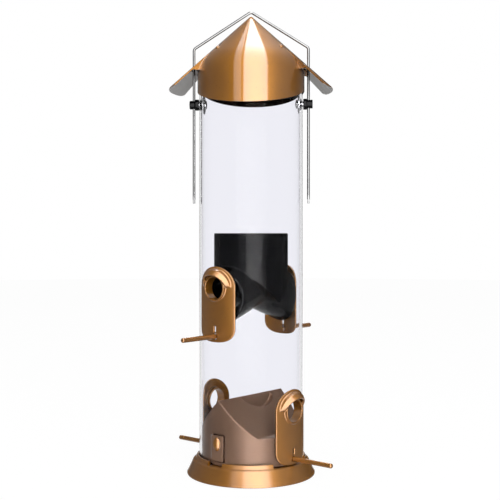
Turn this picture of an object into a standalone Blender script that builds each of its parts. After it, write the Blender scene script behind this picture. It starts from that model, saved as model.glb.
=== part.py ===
"""A hanging tube bird feeder: clear tube, four hooded ports with perches, sliding roof on a wire handle,
and a base that the tube lifts off when its two latch tabs are pressed.

Metres, +Z up. The origin is the centre of the flange's underside. The wings of the roof and the legs of the
wire handle lie along X. An azimuth is measured from the front (-Y) towards +X.
"""

from math import atan2, cos, degrees, radians, sin, sqrt, tan

import bmesh
import bpy
from mathutils import Matrix, Vector

MM = 0.001
GAP = 0.3 * MM  # between pieces that touch

# Tube
TUBE_R = 38.0 * MM
TUBE_WALL = 1.6 * MM
TUBE_TOP = 294.0 * MM
TUBE_INNER_R = TUBE_R - TUBE_WALL

# Base flange
FLANGE_R = TUBE_R + 9.0 * MM
FLANGE_LEDGE_Z = 10.7 * MM  # the tube and the insert stand on it
FLANGE_LIP_TOP = 14.0 * MM
FLANGE_LIP_WALL = 1.3 * MM
FLANGE_WALL = 1.9 * MM
FLANGE_STEP_R = TUBE_R + 4.4 * MM
FLANGE_STEP_Z = 10.5 * MM
FLANGE_FOOT = 1.6 * MM

# Seed ramp that stands on the flange inside the tube
INSERT_R = TUBE_INNER_R - 0.4 * MM
INSERT_WALL = 2.4 * MM
RIDGE_Z = 57.3 * MM
RAMP_FLOOR_Z = 31.7 * MM
RAMP_SLOPE = radians(44)
SCOOP_ALONG = 17.0 * MM  # half its length along the ridge
SCOOP_OUT = 12.0 * MM
SCOOP_DEEP = 12.0 * MM
SCOOP_SHIFT = 5.0 * MM
SCOOP_RIDGE_WALL = 0.7 * MM  # left standing at the ridge
BOSS_R = 3.6 * MM
BOSS_TALL = 9.0 * MM
BOSS_BORE_TALL = 7.4 * MM
BOSS_SHIFT = 2.6 * MM  # a boss leans into the insert, off its screw

# Latch tabs
LATCH_AZ = radians(-36)
LATCH_HALF = radians(8.0)
LATCH_TOP = 32.6 * MM
LATCH_BOTTOM = FLANGE_LIP_TOP + 0.6 * MM
LATCH_CLEAR = 0.45 * MM
LATCH_BUTTON_Z = 26.6 * MM
LATCH_BUTTON_R = 3.3 * MM
LATCH_BUTTON_STRETCH = 1.45

# Ports
UPPER_AZ = radians(-36)
LOWER_AZ = radians(54)
PORT_RISE = 87.5 * MM  # an upper port above a lower port
PLATE_BOTTOM = 11.4 * MM
PLATE_WIDE = 33.2 * MM
PLATE_TALL = 53.6 * MM
PLATE_THICK = 1.6 * MM
PLATE_TOP_ROUND = 15.0 * MM  # height over which the top closes in
PLATE_BOTTOM_ROUND = 11.0 * MM
PLATE_SQUARENESS = 2.6  # of the bottom corners, where 2 is an ellipse
HOLE_R = 8.0 * MM
HOLE_UP = 38.2 * MM  # hole centre above the plate's bottom
SLEEVE_WALL = 1.2 * MM
SLEEVE_IN = 3.0 * MM  # how far the sleeve stands inside the tube
HOOD_OUT = 6.4 * MM
HOOD_R = 14.6 * MM
HOOD_LIP_R = 9.8 * MM
HOOD_WALL = 1.3 * MM
HOOD_LIP_WALL = 0.8 * MM
HOOD_ROOT = 2.2 * MM  # thickness where the hood meets the plate
HOOD_HALF = radians(84)
RING_OUT = 0.8 * MM  # the sleeve's ring stands this far off the plate

# Perches
PERCH_R = 1.7 * MM
PERCH_UP = 4.1 * MM  # above the plate's bottom
PERCH_REACH = TUBE_R + 35.0 * MM
PERCH_START = TUBE_INNER_R + 0.2 * MM
PERCH_NOSE = 1.4 * MM
SLOT_UP = 5.4 * MM  # small slot above the perch
SLOT_WIDE = 1.6 * MM
SLOT_TALL = 4.6 * MM

# Diverter at the upper ports
DIVERTER_R = TUBE_R - 10.8 * MM
DIVERTER_WALL = 2.0 * MM
DIVERTER_TOP = 176.0 * MM
BRANCH_R = HOLE_R + 11.0 * MM
BRANCH_MID_Z = 141.7 * MM
BRANCH_END_Z = 129.0 * MM
DIVERTER_KEEL_Z = 125.5 * MM
KEEL_SLOPE = radians(41)

# Roof
ROOF_SLOPE = radians(42.2)
ROOF_WALL = 0.9 * MM
SKIRT_R = TUBE_R + 1.4 * MM
APEX_Z = TUBE_TOP + 6.47 * MM + SKIRT_R * tan(ROOF_SLOPE)
SKIRT_LOW_Z = TUBE_TOP - 23.1 * MM
SKIRT_SIDE_Z = TUBE_TOP - 12.8 * MM
SKIRT_LEAN = radians(4.4)  # the skirt's edge hangs lower in front than behind
ROOF_BEND = 9.0 * MM  # how far the cone starts to turn before the skirt
WING_R = TUBE_R + 22.2 * MM
WING_HALF = radians(25.5)
WING_CORNER = 1.6 * MM
WING_INSET = 0.06 * MM  # keeps a wing's faces off the cone's own faces
GUSSET_OUT = 5.6 * MM
GUSSET_AT = WING_HALF - radians(1.6)
GUSSET_HALF = radians(0.8)
RIVET_AZ = radians(52)
RIVET_R = 1.5 * MM
RIVET_AT = SKIRT_R - 10.4 * MM
RIVET_SHANK_R = RIVET_R * 0.6
RIVET_HEAD_TOP = 1.1 * MM
RIVET_TAIL_R = RIVET_R * 0.95
RIVET_TAIL = 0.7 * MM

# Wire handle and its studs
WIRE_R = 1.0 * MM
WIRE_X = TUBE_R + 4.3 * MM
WIRE_TIP_Z = TUBE_TOP - 96.2 * MM
WIRE_SHOULDER_Z = APEX_Z - 24.0 * MM
WIRE_TOP_Z = APEX_Z + 3.4 * MM
WIRE_CLEAR = 0.35 * MM
WIRE_BEND = 3.0 * MM
SWAGE_TALL = 6.0 * MM
SWAGE_WIDE = 3.4 * MM
SWAGE_THICK = 1.4 * MM
STUD_Z = TUBE_TOP - 23.2 * MM
STUD_COLLAR_R = 4.1 * MM
STUD_BODY_R = 3.2 * MM
STUD_SIDE = 3.1 * MM  # the stud stands this far past the leg
STUD_START = TUBE_R + 0.5 * MM
STUD_WAIST = TUBE_R + 3.2 * MM
STUD_WEB = 0.8 * MM  # between the screw's bore and the leg's hole
WASHER_R = 6.9 * MM
WASHER_THICK = 0.8 * MM
SCREW_R = 1.9 * MM
SCREW_HEAD_R = 3.3 * MM
SCREW_HEAD = 1.8 * MM

# Screws under the base
BASE_SCREW_RING = INSERT_R - 2.4 * MM
BASE_SCREW_AZ = [radians(-81), radians(9), radians(99)]

GOLD = ((0.33, 0.17, 0.045), 0.32, 0.85)
COPPER = ((0.27, 0.145, 0.07), 0.4, 0.6)
BLACK = ((0.012, 0.012, 0.014), 0.25, 0.0)
CLEAR = ((0.86, 0.88, 0.92), 0.05, 0.0)
STEEL = ((0.55, 0.55, 0.56), 0.25, 1.0)
ZINC = ((0.42, 0.42, 0.43), 0.4, 0.9)


def new_collection(name):
    collection = bpy.data.collections.new(name)
    bpy.context.scene.collection.children.link(collection)
    return collection


def put(name, mesh, collection):
    thing = bpy.data.objects.new(name, mesh)
    collection.objects.link(thing)
    return thing


def finish_material(thing, look):
    colour, roughness, metallic = look
    material = bpy.data.materials.new(thing.name)
    material.use_nodes = True
    shader = material.node_tree.nodes["Principled BSDF"]
    shader.inputs["Base Color"].default_value = (*colour, 1.0)
    shader.inputs["Roughness"].default_value = roughness
    shader.inputs["Metallic"].default_value = metallic
    if look is CLEAR:
        shader.inputs["Transmission Weight"].default_value = 1.0
    thing.data.materials.append(material)
    return thing


def as_cutter(thing):
    thing.hide_render = True
    thing.display_type = "WIRE"
    return thing


def boolean(thing, other, operation="DIFFERENCE"):
    modifier = thing.modifiers.new(operation.title(), "BOOLEAN")
    modifier.operation = operation
    modifier.object = other
    return thing


def mesh_from(name, build):
    """A mesh made by a function that fills a bmesh."""
    bm = bmesh.new()
    build(bm)
    bmesh.ops.recalc_face_normals(bm, faces=bm.faces)
    mesh = bpy.data.meshes.new(name)
    bm.to_mesh(mesh)
    bm.free()
    return mesh


def turned(name, profile, collection, steps=48, closed=True):
    """A profile of (radius, z) turned about Z. It runs down its outer side."""
    mesh = bpy.data.meshes.new(name)
    edges = [(i, i + 1) for i in range(len(profile) - 1)]
    if closed:
        edges.append((len(profile) - 1, 0))
    mesh.from_pydata([(r, 0, z) for r, z in profile], edges, [])
    thing = put(name, mesh, collection)
    screw = thing.modifiers.new("Screw", "SCREW")
    screw.steps = steps
    screw.render_steps = steps
    screw.use_merge_vertices = True
    screw.merge_threshold = 0.00001
    screw.use_smooth_shade = True
    return thing


def spot(azimuth, radius, z):
    return Vector((radius * sin(azimuth), -radius * cos(azimuth), z))


def facing(azimuth, tilt=0.0):
    """Turns +Z to point outwards along an azimuth, tilted down by an angle, and local Y up."""
    outward = Vector((sin(azimuth) * cos(tilt), -cos(azimuth) * cos(tilt), -sin(tilt)))
    side = Vector((cos(azimuth), sin(azimuth), 0))
    up = outward.cross(side)
    return Matrix((side, up, outward)).transposed().to_4x4()


def rod(name, azimuth, start, end, z, radius, collection, steps=24, tip=None):
    """A round rod along an azimuth from one radius to another. tip is the radius of its outer end."""
    def build(bm):
        bmesh.ops.create_cone(
            bm,
            cap_ends=True,
            segments=steps,
            radius1=radius,
            radius2=radius if tip is None else tip,
            depth=end - start,
        )
        place = Matrix.Translation(spot(azimuth, (start + end) / 2, z)) @ facing(azimuth)
        bmesh.ops.transform(bm, matrix=place, verts=bm.verts)

    return put(name, mesh_from(name, build), collection)


def block(name, low, high, collection):
    """A box between two corners."""
    def build(bm):
        bmesh.ops.create_cube(bm, size=1)
        size = Vector(high) - Vector(low)
        middle = (Vector(high) + Vector(low)) / 2
        bmesh.ops.scale(bm, vec=size, verts=bm.verts)
        bmesh.ops.translate(bm, vec=middle, verts=bm.verts)

    return put(name, mesh_from(name, build), collection)


def prism(name, outline, length, azimuth, collection):
    """An outline of (across, z) points, pushed along the horizontal direction square to an azimuth.

    across is the distance along the azimuth.
    """
    def build(bm):
        along = spot(azimuth, 1, 0)
        side = Vector((-along.y, along.x, 0))
        rings = [
            [bm.verts.new(along * a + side * length * end + Vector((0, 0, z))) for a, z in outline]
            for end in (-0.5, 0.5)
        ]
        bm.faces.new(rings[0])
        bm.faces.new(rings[1])
        count = len(outline)
        for i in range(count):
            j = (i + 1) % count
            bm.faces.new((rings[0][i], rings[0][j], rings[1][j], rings[1][i]))

    return put(name, mesh_from(name, build), collection)


def columns(name, sections, collection):
    """A solid through a row of sections that hold the same number of points."""
    def build(bm):
        rows = [[bm.verts.new(point) for point in section] for section in sections]
        count = len(rows[0])
        bm.faces.new(rows[0])
        bm.faces.new(rows[-1])
        for first, second in zip(rows, rows[1:]):
            for i in range(count):
                j = (i + 1) % count
                bm.faces.new((first[i], first[j], second[j], second[i]))

    return put(name, mesh_from(name, build), collection)


def arc_plate(name, azimuth, half, inner, outer, low, high, collection, steps=6):
    """A piece of a ring: between two radii, two heights, and half an angle each side of an azimuth."""
    sections = []
    for i in range(steps + 1):
        a = azimuth + half * (2 * i / steps - 1)
        sections.append([spot(a, inner, low), spot(a, outer, low), spot(a, outer, high), spot(a, inner, high)])
    return columns(name, sections, collection)


for old in list(bpy.data.objects):
    bpy.data.objects.remove(old)

parts = new_collection("tube_bird_feeder")
cutters = new_collection("cutters")


def make_base_flange():
    lip_in = TUBE_R + GAP
    lip_out = lip_in + FLANGE_LIP_WALL
    drop = FLANGE_WALL * 1.15
    profile = [
        (0, FLANGE_LEDGE_Z),
        (lip_in, FLANGE_LEDGE_Z),
        (lip_in, FLANGE_LIP_TOP),
        (lip_out, FLANGE_LIP_TOP),
        (FLANGE_STEP_R - 1.0 * MM, FLANGE_STEP_Z + 0.5 * MM),
        (FLANGE_STEP_R, FLANGE_STEP_Z),
        (FLANGE_R - 0.5 * MM, FLANGE_FOOT + 0.4 * MM),
        (FLANGE_R, FLANGE_FOOT),
        (FLANGE_R, 0),
        (FLANGE_R - FLANGE_WALL, 0),
        (FLANGE_R - FLANGE_WALL, FLANGE_FOOT),
        (FLANGE_STEP_R - FLANGE_WALL, FLANGE_STEP_Z - drop),
        (0, FLANGE_STEP_Z - drop),
    ]
    flange = turned("base_flange", profile, parts, steps=72, closed=False)
    notches = [(LOWER_AZ, radians(27)), (LATCH_AZ, LATCH_HALF + radians(1.5))]
    for azimuth, half in notches:
        for side, turn in (("a", 0.0), ("b", radians(180))):
            notch = arc_plate(
                f"lip_notch_{side}_{round(degrees(azimuth))}",
                azimuth + turn,
                half,
                TUBE_R - 1 * MM,
                FLANGE_STEP_R - 1.2 * MM,
                FLANGE_LEDGE_Z + GAP / 2,
                FLANGE_LIP_TOP + 3 * MM,
                cutters,
                steps=10,
            )
            boolean(flange, as_cutter(notch))
    for i, azimuth in enumerate(BASE_SCREW_AZ):
        hole = put(f"flange_screw_hole_{i}", disc_mesh(SCREW_R + GAP, 0, FLANGE_LIP_TOP), cutters)
        hole.location = spot(azimuth, BASE_SCREW_RING, 0)
        boolean(flange, as_cutter(hole))
    finish_material(flange, GOLD)


def disc_mesh(radius, low, high, steps=20):
    def build(bm):
        bmesh.ops.create_cone(
            bm, cap_ends=True, segments=steps, radius1=radius, radius2=radius, depth=high - low
        )
        bmesh.ops.translate(bm, vec=(0, 0, (low + high) / 2), verts=bm.verts)

    return mesh_from("disc", build)


def gable(name, drop):
    """The prism under both ramps, lowered by drop."""
    reach = INSERT_R + 2 * MM
    foot = (RIDGE_Z - RAMP_FLOOR_Z) / tan(RAMP_SLOPE)
    low = FLANGE_LEDGE_Z - 3 * MM
    outline = [
        (-reach, low),
        (reach, low),
        (reach, RAMP_FLOOR_Z - drop),
        (foot, RAMP_FLOOR_Z - drop),
        (0, RIDGE_Z - drop),
        (-foot, RAMP_FLOOR_Z - drop),
        (-reach, RAMP_FLOOR_Z - drop),
    ]
    return as_cutter(prism(name, outline, 3 * reach, LOWER_AZ, cutters))


def make_base_insert():
    bottom = FLANGE_LEDGE_Z + GAP
    steps = 64
    insert = put("base_insert", disc_mesh(INSERT_R, bottom, RIDGE_Z + 2 * MM, steps), parts)
    boolean(insert, gable("ramp_gable", 0), "INTERSECT")
    hollow = put(
        "insert_hollow",
        disc_mesh(INSERT_R - INSERT_WALL, bottom - 2 * MM, RIDGE_Z, steps),
        cutters,
    )
    boolean(hollow, gable("hollow_gable", INSERT_WALL / cos(RAMP_SLOPE)), "INTERSECT")
    for side, turn in (("front", 0.0), ("back", radians(180))):
        boolean(hollow, scoop(f"scoop_wall_{side}", turn, INSERT_WALL))
    boolean(insert, as_cutter(hollow))
    for i, azimuth in enumerate(BASE_SCREW_AZ):
        boss = put(f"screw_boss_{i}", disc_mesh(BOSS_R, bottom, bottom + BOSS_TALL), cutters)
        boss.location = spot(azimuth, BASE_SCREW_RING - BOSS_SHIFT, 0)
        boolean(insert, as_cutter(boss), "UNION")
        bore = put(f"boss_bore_{i}", disc_mesh(SCREW_R + GAP, bottom - MM, bottom + BOSS_BORE_TALL), cutters)
        bore.location = spot(azimuth, BASE_SCREW_RING, 0)
        boolean(insert, as_cutter(bore))
    for side, turn in (("front", 0.0), ("back", radians(180))):
        notch = arc_plate(
            f"tab_window_{side}",
            LATCH_AZ + turn,
            LATCH_HALF + LATCH_CLEAR / INSERT_R,
            INSERT_R - INSERT_WALL - 1.5 * MM,
            INSERT_R + 2 * MM,
            LATCH_BOTTOM - LATCH_CLEAR,
            LATCH_TOP + LATCH_CLEAR,
            cutters,
        )
        boolean(insert, as_cutter(notch))
        boolean(insert, scoop(f"scoop_{side}", turn, 0))
    finish_material(insert, COPPER)


def scoop(name, turn, grow):
    """Half of a flattened ball that hollows one ramp beside the ridge. grow adds a wall round it."""
    def build(bm):
        bmesh.ops.create_uvsphere(bm, u_segments=24, v_segments=12, radius=1)
        size = (SCOOP_ALONG + grow, SCOOP_OUT + grow, SCOOP_DEEP + grow)
        bmesh.ops.scale(bm, vec=size, verts=bm.verts)
        bmesh.ops.translate(bm, vec=(SCOOP_SHIFT, 0, RIDGE_Z), verts=bm.verts)
        whole = bm.verts[:] + bm.edges[:] + bm.faces[:]
        bmesh.ops.bisect_plane(
            bm,
            geom=whole,
            plane_co=(0, grow - SCOOP_RIDGE_WALL, 0),
            plane_no=(0, 1, 0),
            clear_outer=True,
        )
        rim = [edge for edge in bm.edges if edge.is_boundary]
        bmesh.ops.edgeloop_fill(bm, edges=rim)

    cutter = put(name, mesh_from(name, build), cutters)
    cutter.matrix_world = Matrix.Rotation(LOWER_AZ + turn, 4, "Z")
    return as_cutter(cutter)


def make_latch(side, turn):
    azimuth = LATCH_AZ + turn
    outer = TUBE_R - 0.1 * MM
    tab = arc_plate(
        f"latch_{side}",
        azimuth,
        LATCH_HALF,
        INSERT_R - INSERT_WALL,
        outer,
        LATCH_BOTTOM,
        LATCH_TOP,
        parts,
        steps=6,
    )

    def build(bm):
        bmesh.ops.create_uvsphere(bm, u_segments=16, v_segments=10, radius=LATCH_BUTTON_R)
        bmesh.ops.scale(bm, vec=(1, LATCH_BUTTON_STRETCH, 0.75), verts=bm.verts)
        place = Matrix.Translation(spot(azimuth, outer - 0.3 * MM, LATCH_BUTTON_Z)) @ facing(azimuth)
        bmesh.ops.transform(bm, matrix=place, verts=bm.verts)

    button = put(f"latch_button_{side}", mesh_from("latch_button", build), cutters)
    boolean(tab, as_cutter(button), "UNION")
    finish_material(tab, GOLD)


def port_places():
    """Name, azimuth and plate bottom of each port."""
    turn = radians(180)
    return [
        ("upper_front", UPPER_AZ, PLATE_BOTTOM + PORT_RISE),
        ("upper_back", UPPER_AZ + turn, PLATE_BOTTOM + PORT_RISE),
        ("lower_right", LOWER_AZ, PLATE_BOTTOM),
        ("lower_left", LOWER_AZ + turn, PLATE_BOTTOM),
    ]


def make_tube():
    bottom = FLANGE_LEDGE_Z + GAP
    profile = [(TUBE_R, TUBE_TOP), (TUBE_R, bottom), (TUBE_INNER_R, bottom), (TUBE_INNER_R, TUBE_TOP)]
    tube = turned("clear_tube", profile, parts, steps=72)
    for name, azimuth, bottom_z in port_places():
        sleeve_hole = rod(
            f"tube_port_hole_{name}",
            azimuth,
            TUBE_R - 8 * MM,
            TUBE_R + 8 * MM,
            bottom_z + HOLE_UP,
            HOLE_R + SLEEVE_WALL + GAP,
            cutters,
        )
        boolean(tube, as_cutter(sleeve_hole))
        perch_hole = rod(
            f"tube_perch_hole_{name}",
            azimuth,
            TUBE_R - 6 * MM,
            TUBE_R + 6 * MM,
            bottom_z + PERCH_UP,
            PERCH_R + GAP,
            cutters,
            steps=16,
        )
        boolean(tube, as_cutter(perch_hole))
    for side, turn in (("front", 0.0), ("back", radians(180))):
        slot = arc_plate(
            f"latch_slot_{side}",
            LATCH_AZ + turn,
            LATCH_HALF + LATCH_CLEAR / TUBE_R,
            TUBE_INNER_R - 2 * MM,
            TUBE_R + 2 * MM,
            bottom - 2 * MM,
            LATCH_TOP + LATCH_CLEAR,
            cutters,
        )
        boolean(tube, as_cutter(slot))
    for side, azimuth in (("left", radians(-90)), ("right", radians(90))):
        hole = rod(
            f"tube_stud_hole_{side}",
            azimuth,
            TUBE_R - 6 * MM,
            TUBE_R + 6 * MM,
            STUD_Z,
            SCREW_R + GAP,
            cutters,
            steps=16,
        )
        boolean(tube, as_cutter(hole))
    finish_material(tube, CLEAR)


def plate_section(azimuth, u, bottom_z, inner, outer):
    """A vertical cut through a round-cornered plate, u to one side of its middle, wrapped on the tube."""
    share = min(abs(u) / (PLATE_WIDE / 2), 1.0)
    top_fall = PLATE_TOP_ROUND * (1 - sqrt(1 - share ** 2))
    bottom_rise = PLATE_BOTTOM_ROUND * (1 - (1 - share ** PLATE_SQUARENESS) ** (1 / PLATE_SQUARENESS))
    low = bottom_z + bottom_rise
    high = bottom_z + PLATE_TALL - top_fall
    a = azimuth + u / outer
    return [spot(a, inner, low), spot(a, outer, low), spot(a, outer, high), spot(a, inner, high)]


def hood_section(azimuth, middle_z, angle, inner):
    """A cut through the hood at an angle from straight up, seen from outside."""
    out = HOOD_OUT * cos(angle * radians(78) / HOOD_HALF)
    corners = [
        (HOOD_R, -HOOD_WALL),
        (HOOD_LIP_R, out),
        (HOOD_LIP_R - HOOD_LIP_WALL, out - HOOD_WALL),
        (HOOD_R - HOOD_ROOT, -HOOD_WALL),
    ]
    points = []
    for ring, depth in corners:
        u = ring * sin(angle)
        points.append(spot(azimuth + u / inner, inner + depth, middle_z + ring * cos(angle)))
    return points


def make_port(name, azimuth, bottom_z):
    inner = TUBE_R + GAP
    outer = inner + PLATE_THICK
    middle_z = bottom_z + HOLE_UP
    half = PLATE_WIDE / 2 - 0.02 * MM
    steps = 16
    sides = [sin(radians(90) * (2 * i / steps - 1)) * half for i in range(steps + 1)]
    plate = columns(
        f"port_{name}", [plate_section(azimuth, u, bottom_z, inner, outer) for u in sides], parts
    )
    count = 16
    angles = [HOOD_HALF * (2 * i / count - 1) for i in range(count + 1)]
    hood = columns(f"hood_{name}", [hood_section(azimuth, middle_z, a, outer) for a in angles], cutters)
    boolean(plate, as_cutter(hood), "UNION")
    sleeve = rod(
        f"sleeve_{name}",
        azimuth,
        TUBE_INNER_R - SLEEVE_IN,
        outer + RING_OUT,
        middle_z,
        HOLE_R + SLEEVE_WALL,
        cutters,
    )
    boolean(plate, as_cutter(sleeve), "UNION")
    hole = rod(
        f"port_hole_{name}", azimuth, TUBE_R - 12 * MM, TUBE_R + 14 * MM, middle_z, HOLE_R, cutters
    )
    boolean(plate, as_cutter(hole))
    perch_z = bottom_z + PERCH_UP
    perch_hole = rod(
        f"plate_perch_hole_{name}",
        azimuth,
        TUBE_R - 2 * MM,
        TUBE_R + 8 * MM,
        perch_z,
        PERCH_R + GAP,
        cutters,
        steps=16,
    )
    boolean(plate, as_cutter(perch_hole))
    slot = arc_plate(
        f"plate_slot_{name}",
        azimuth,
        SLOT_WIDE / 2 / outer,
        TUBE_R - 2 * MM,
        outer + 2 * MM,
        perch_z + SLOT_UP - SLOT_TALL / 2,
        perch_z + SLOT_UP + SLOT_TALL / 2,
        cutters,
        steps=1,
    )
    boolean(plate, as_cutter(slot))
    finish_material(plate, GOLD)

    perch_end = PERCH_REACH - 0.7 * PERCH_NOSE
    perch = rod(f"perch_{name}", azimuth, PERCH_START, perch_end, perch_z, PERCH_R, parts, steps=16)
    nose = rod(
        f"perch_nose_{name}",
        azimuth,
        PERCH_REACH - PERCH_NOSE,
        PERCH_REACH,
        perch_z,
        PERCH_R * 0.96,
        cutters,
        steps=16,
        tip=PERCH_R * 0.55,
    )
    boolean(perch, as_cutter(nose), "UNION")
    finish_material(perch, GOLD)


def branch_rod(name, azimuth, radius, start, reach):
    """A pipe from the feeder's middle down to a port, cut later by the tube's inner radius."""
    tilt = atan2(BRANCH_MID_Z - BRANCH_END_Z, TUBE_INNER_R)

    def build(bm):
        bmesh.ops.create_cone(
            bm, cap_ends=True, segments=36, radius1=radius, radius2=radius, depth=reach - start
        )
        bmesh.ops.translate(bm, vec=(0, 0, (reach + start) / 2), verts=bm.verts)
        place = Matrix.Translation((0, 0, BRANCH_MID_Z)) @ facing(azimuth, tilt)
        bmesh.ops.transform(bm, matrix=place, verts=bm.verts)

    return as_cutter(put(name, mesh_from(name, build), cutters))


def make_diverter():
    clear = TUBE_INNER_R - 0.4 * MM
    steps = 48
    body = put("upper_diverter", disc_mesh(DIVERTER_R, DIVERTER_KEEL_Z - MM, DIVERTER_TOP, steps), parts)
    reach = 60 * MM
    keel = [
        (0, DIVERTER_KEEL_Z),
        (reach, DIVERTER_KEEL_Z + reach * tan(KEEL_SLOPE)),
        (reach, DIVERTER_TOP + 60 * MM),
        (-reach, DIVERTER_TOP + 60 * MM),
        (-reach, DIVERTER_KEEL_Z + reach * tan(KEEL_SLOPE)),
    ]
    boolean(body, as_cutter(prism("diverter_keel", keel, 3 * reach, UPPER_AZ, cutters)), "INTERSECT")
    for side, turn in (("front", 0.0), ("back", radians(180))):
        boolean(body, branch_rod(f"branch_{side}", UPPER_AZ + turn, BRANCH_R, -1 * MM, reach), "UNION")
    bore = put("tube_bore", disc_mesh(clear, 0, TUBE_TOP, 72), cutters)
    boolean(body, as_cutter(bore), "INTERSECT")
    inner_r = DIVERTER_R - DIVERTER_WALL
    well = put("diverter_well", disc_mesh(inner_r, DIVERTER_KEEL_Z, DIVERTER_TOP + MM, steps), cutters)
    rise = DIVERTER_WALL / cos(KEEL_SLOPE)
    inner_keel = [(a, z + rise) for a, z in keel]
    keel_cut = as_cutter(prism("well_keel", inner_keel, 3 * reach, UPPER_AZ, cutters))
    boolean(well, keel_cut, "INTERSECT")
    boolean(body, as_cutter(well))
    for side, turn in (("front", 0.0), ("back", radians(180))):
        pipe = branch_rod(f"pipe_{side}", UPPER_AZ + turn, BRANCH_R - DIVERTER_WALL, 1 * MM, reach)
        boolean(body, pipe)
    finish_material(body, BLACK)


def roof_z(radius):
    return APEX_Z - radius * tan(ROOF_SLOPE)


def bent(radius, lift, steps=6):
    """Points of the soft turn from the cone, moved up by lift, into a skirt of some radius."""
    start = Vector((radius - ROOF_BEND, roof_z(radius - ROOF_BEND) + lift))
    corner = Vector((radius, roof_z(radius) + lift))
    end = Vector((radius, corner.y - 0.9 * ROOF_BEND))
    points = []
    for i in range(steps + 1):
        t = i / steps
        points.append(tuple(start.lerp(corner, t).lerp(corner.lerp(end, t), t)))
    return points


def make_wing(side, azimuth, thick):
    """The cone run on past the skirt on one side, as a plate from inside the cone's own sheet."""
    start = SKIRT_R - ROOF_BEND - 2 * MM
    sections = []
    steps = 16
    for i in range(steps + 1):
        t = 2 * i / steps - 1
        a = azimuth + WING_HALF * t
        end = WING_R - WING_CORNER * t ** 12
        sections.append([
            spot(a, start, roof_z(start) - WING_INSET),
            spot(a, end, roof_z(end) - WING_INSET),
            spot(a, end, roof_z(end) - thick + WING_INSET),
            spot(a, start, roof_z(start) - thick + WING_INSET),
        ])
    return columns(f"wing_{side}", sections, cutters)


def make_gusset(name, azimuth, thick):
    """A small upright web between the skirt and one flank of a wing."""
    tip = SKIRT_R + GUSSET_OUT
    low_z = roof_z(tip) - thick
    root = SKIRT_R - 4.2 * MM
    sections = []
    for a in (azimuth - GUSSET_HALF, azimuth + GUSSET_HALF):
        sections.append([
            spot(a, root, roof_z(root) - thick * 0.8),
            spot(a, SKIRT_R - 0.7 * MM, low_z),
            spot(a, tip, low_z),
            spot(a, tip, roof_z(tip) - thick / 2),
        ])
    return columns(name, sections, cutters)


def make_roof():
    thick = ROOF_WALL / cos(ROOF_SLOPE)
    low = SKIRT_LOW_Z - 4 * MM
    inner_r = SKIRT_R - ROOF_WALL
    profile = [(0, APEX_Z)] + bent(SKIRT_R, 0) + [(SKIRT_R, low), (inner_r, low)]
    profile += bent(inner_r, -thick)[::-1] + [(0, APEX_Z - thick)]
    roof = turned("roof_shell", profile, parts, steps=72, closed=False)
    for side, azimuth in (("left", radians(-90)), ("right", radians(90))):
        boolean(roof, as_cutter(make_wing(side, azimuth, thick)), "UNION")
        for flank in (-1, 1):
            gusset = make_gusset(f"gusset_{side}_{flank + 1}", azimuth + flank * GUSSET_AT, thick)
            boolean(roof, as_cutter(gusset), "UNION")
        hole = put(
            f"wing_hole_{side}", disc_mesh(WIRE_R + WIRE_CLEAR, STUD_Z, APEX_Z, 16), cutters
        )
        hole.location = spot(azimuth, WIRE_X, 0)
        boolean(roof, as_cutter(hole))
    reach = SKIRT_R + 4 * MM
    rise = SKIRT_SIDE_Z - SKIRT_LOW_Z
    arch = [(-reach, low - 5 * MM), (reach, low - 5 * MM)]
    steps = 20
    for i in range(steps + 1):
        x = reach * (1 - 2 * i / steps)
        arch.append((x, SKIRT_LOW_Z + rise * (1 - sqrt(max(1 - (x / SKIRT_R) ** 2, 0)))))
    trim = prism("skirt_trim", arch, 3 * reach, radians(90), cutters)
    middle = Matrix.Translation((0, 0, SKIRT_LOW_Z))
    trim.data.transform(middle @ Matrix.Rotation(SKIRT_LEAN, 4, "X") @ middle.inverted())
    boolean(roof, as_cutter(trim))
    for side, sign in (("left", -1), ("right", 1)):
        azimuth = sign * RIVET_AZ
        place = Matrix.Translation(spot(azimuth, RIVET_AT, roof_z(RIVET_AT)))
        place = place @ facing(azimuth, -(radians(90) - ROOF_SLOPE))
        hole = put(f"rivet_hole_{side}", disc_mesh(RIVET_SHANK_R + GAP, -4 * MM, 4 * MM, 12), cutters)
        hole.matrix_world = place
        boolean(roof, as_cutter(hole))
        tail_top = -ROOF_WALL - GAP
        shank = disc_mesh(RIVET_SHANK_R, tail_top - 0.6 * RIVET_TAIL, 0.5 * MM, 12)
        rivet = put(f"roof_rivet_{side}", shank, parts)
        rivet.matrix_world = place
        head = turned(
            f"rivet_head_{side}",
            [(0, RIVET_HEAD_TOP), (RIVET_R * 0.7, RIVET_HEAD_TOP * 0.85), (RIVET_R, GAP), (0, GAP)],
            cutters,
            steps=16,
            closed=False,
        )
        head.matrix_world = place
        boolean(rivet, as_cutter(head), "UNION")
        tail = put(
            f"rivet_tail_{side}",
            disc_mesh(RIVET_TAIL_R, tail_top - RIVET_TAIL, tail_top, 16),
            cutters,
        )
        tail.matrix_world = place
        boolean(rivet, as_cutter(tail), "UNION")
        finish_material(rivet, GOLD)
    finish_material(roof, GOLD)


def bend_points(corners, radius, steps=5):
    """The corners of a wire with each inner corner rounded."""
    points = [corners[0]]
    for before, corner, after in zip(corners, corners[1:], corners[2:]):
        inward = (before - corner).normalized()
        onward = (after - corner).normalized()
        half = inward.angle(onward) / 2
        back = radius / tan(half)
        start = corner + inward * back
        end = corner + onward * back
        for i in range(steps + 1):
            t = i / steps
            points.append(start.lerp(corner, t).lerp(corner.lerp(end, t), t))
    points.append(corners[-1])
    return points


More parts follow.
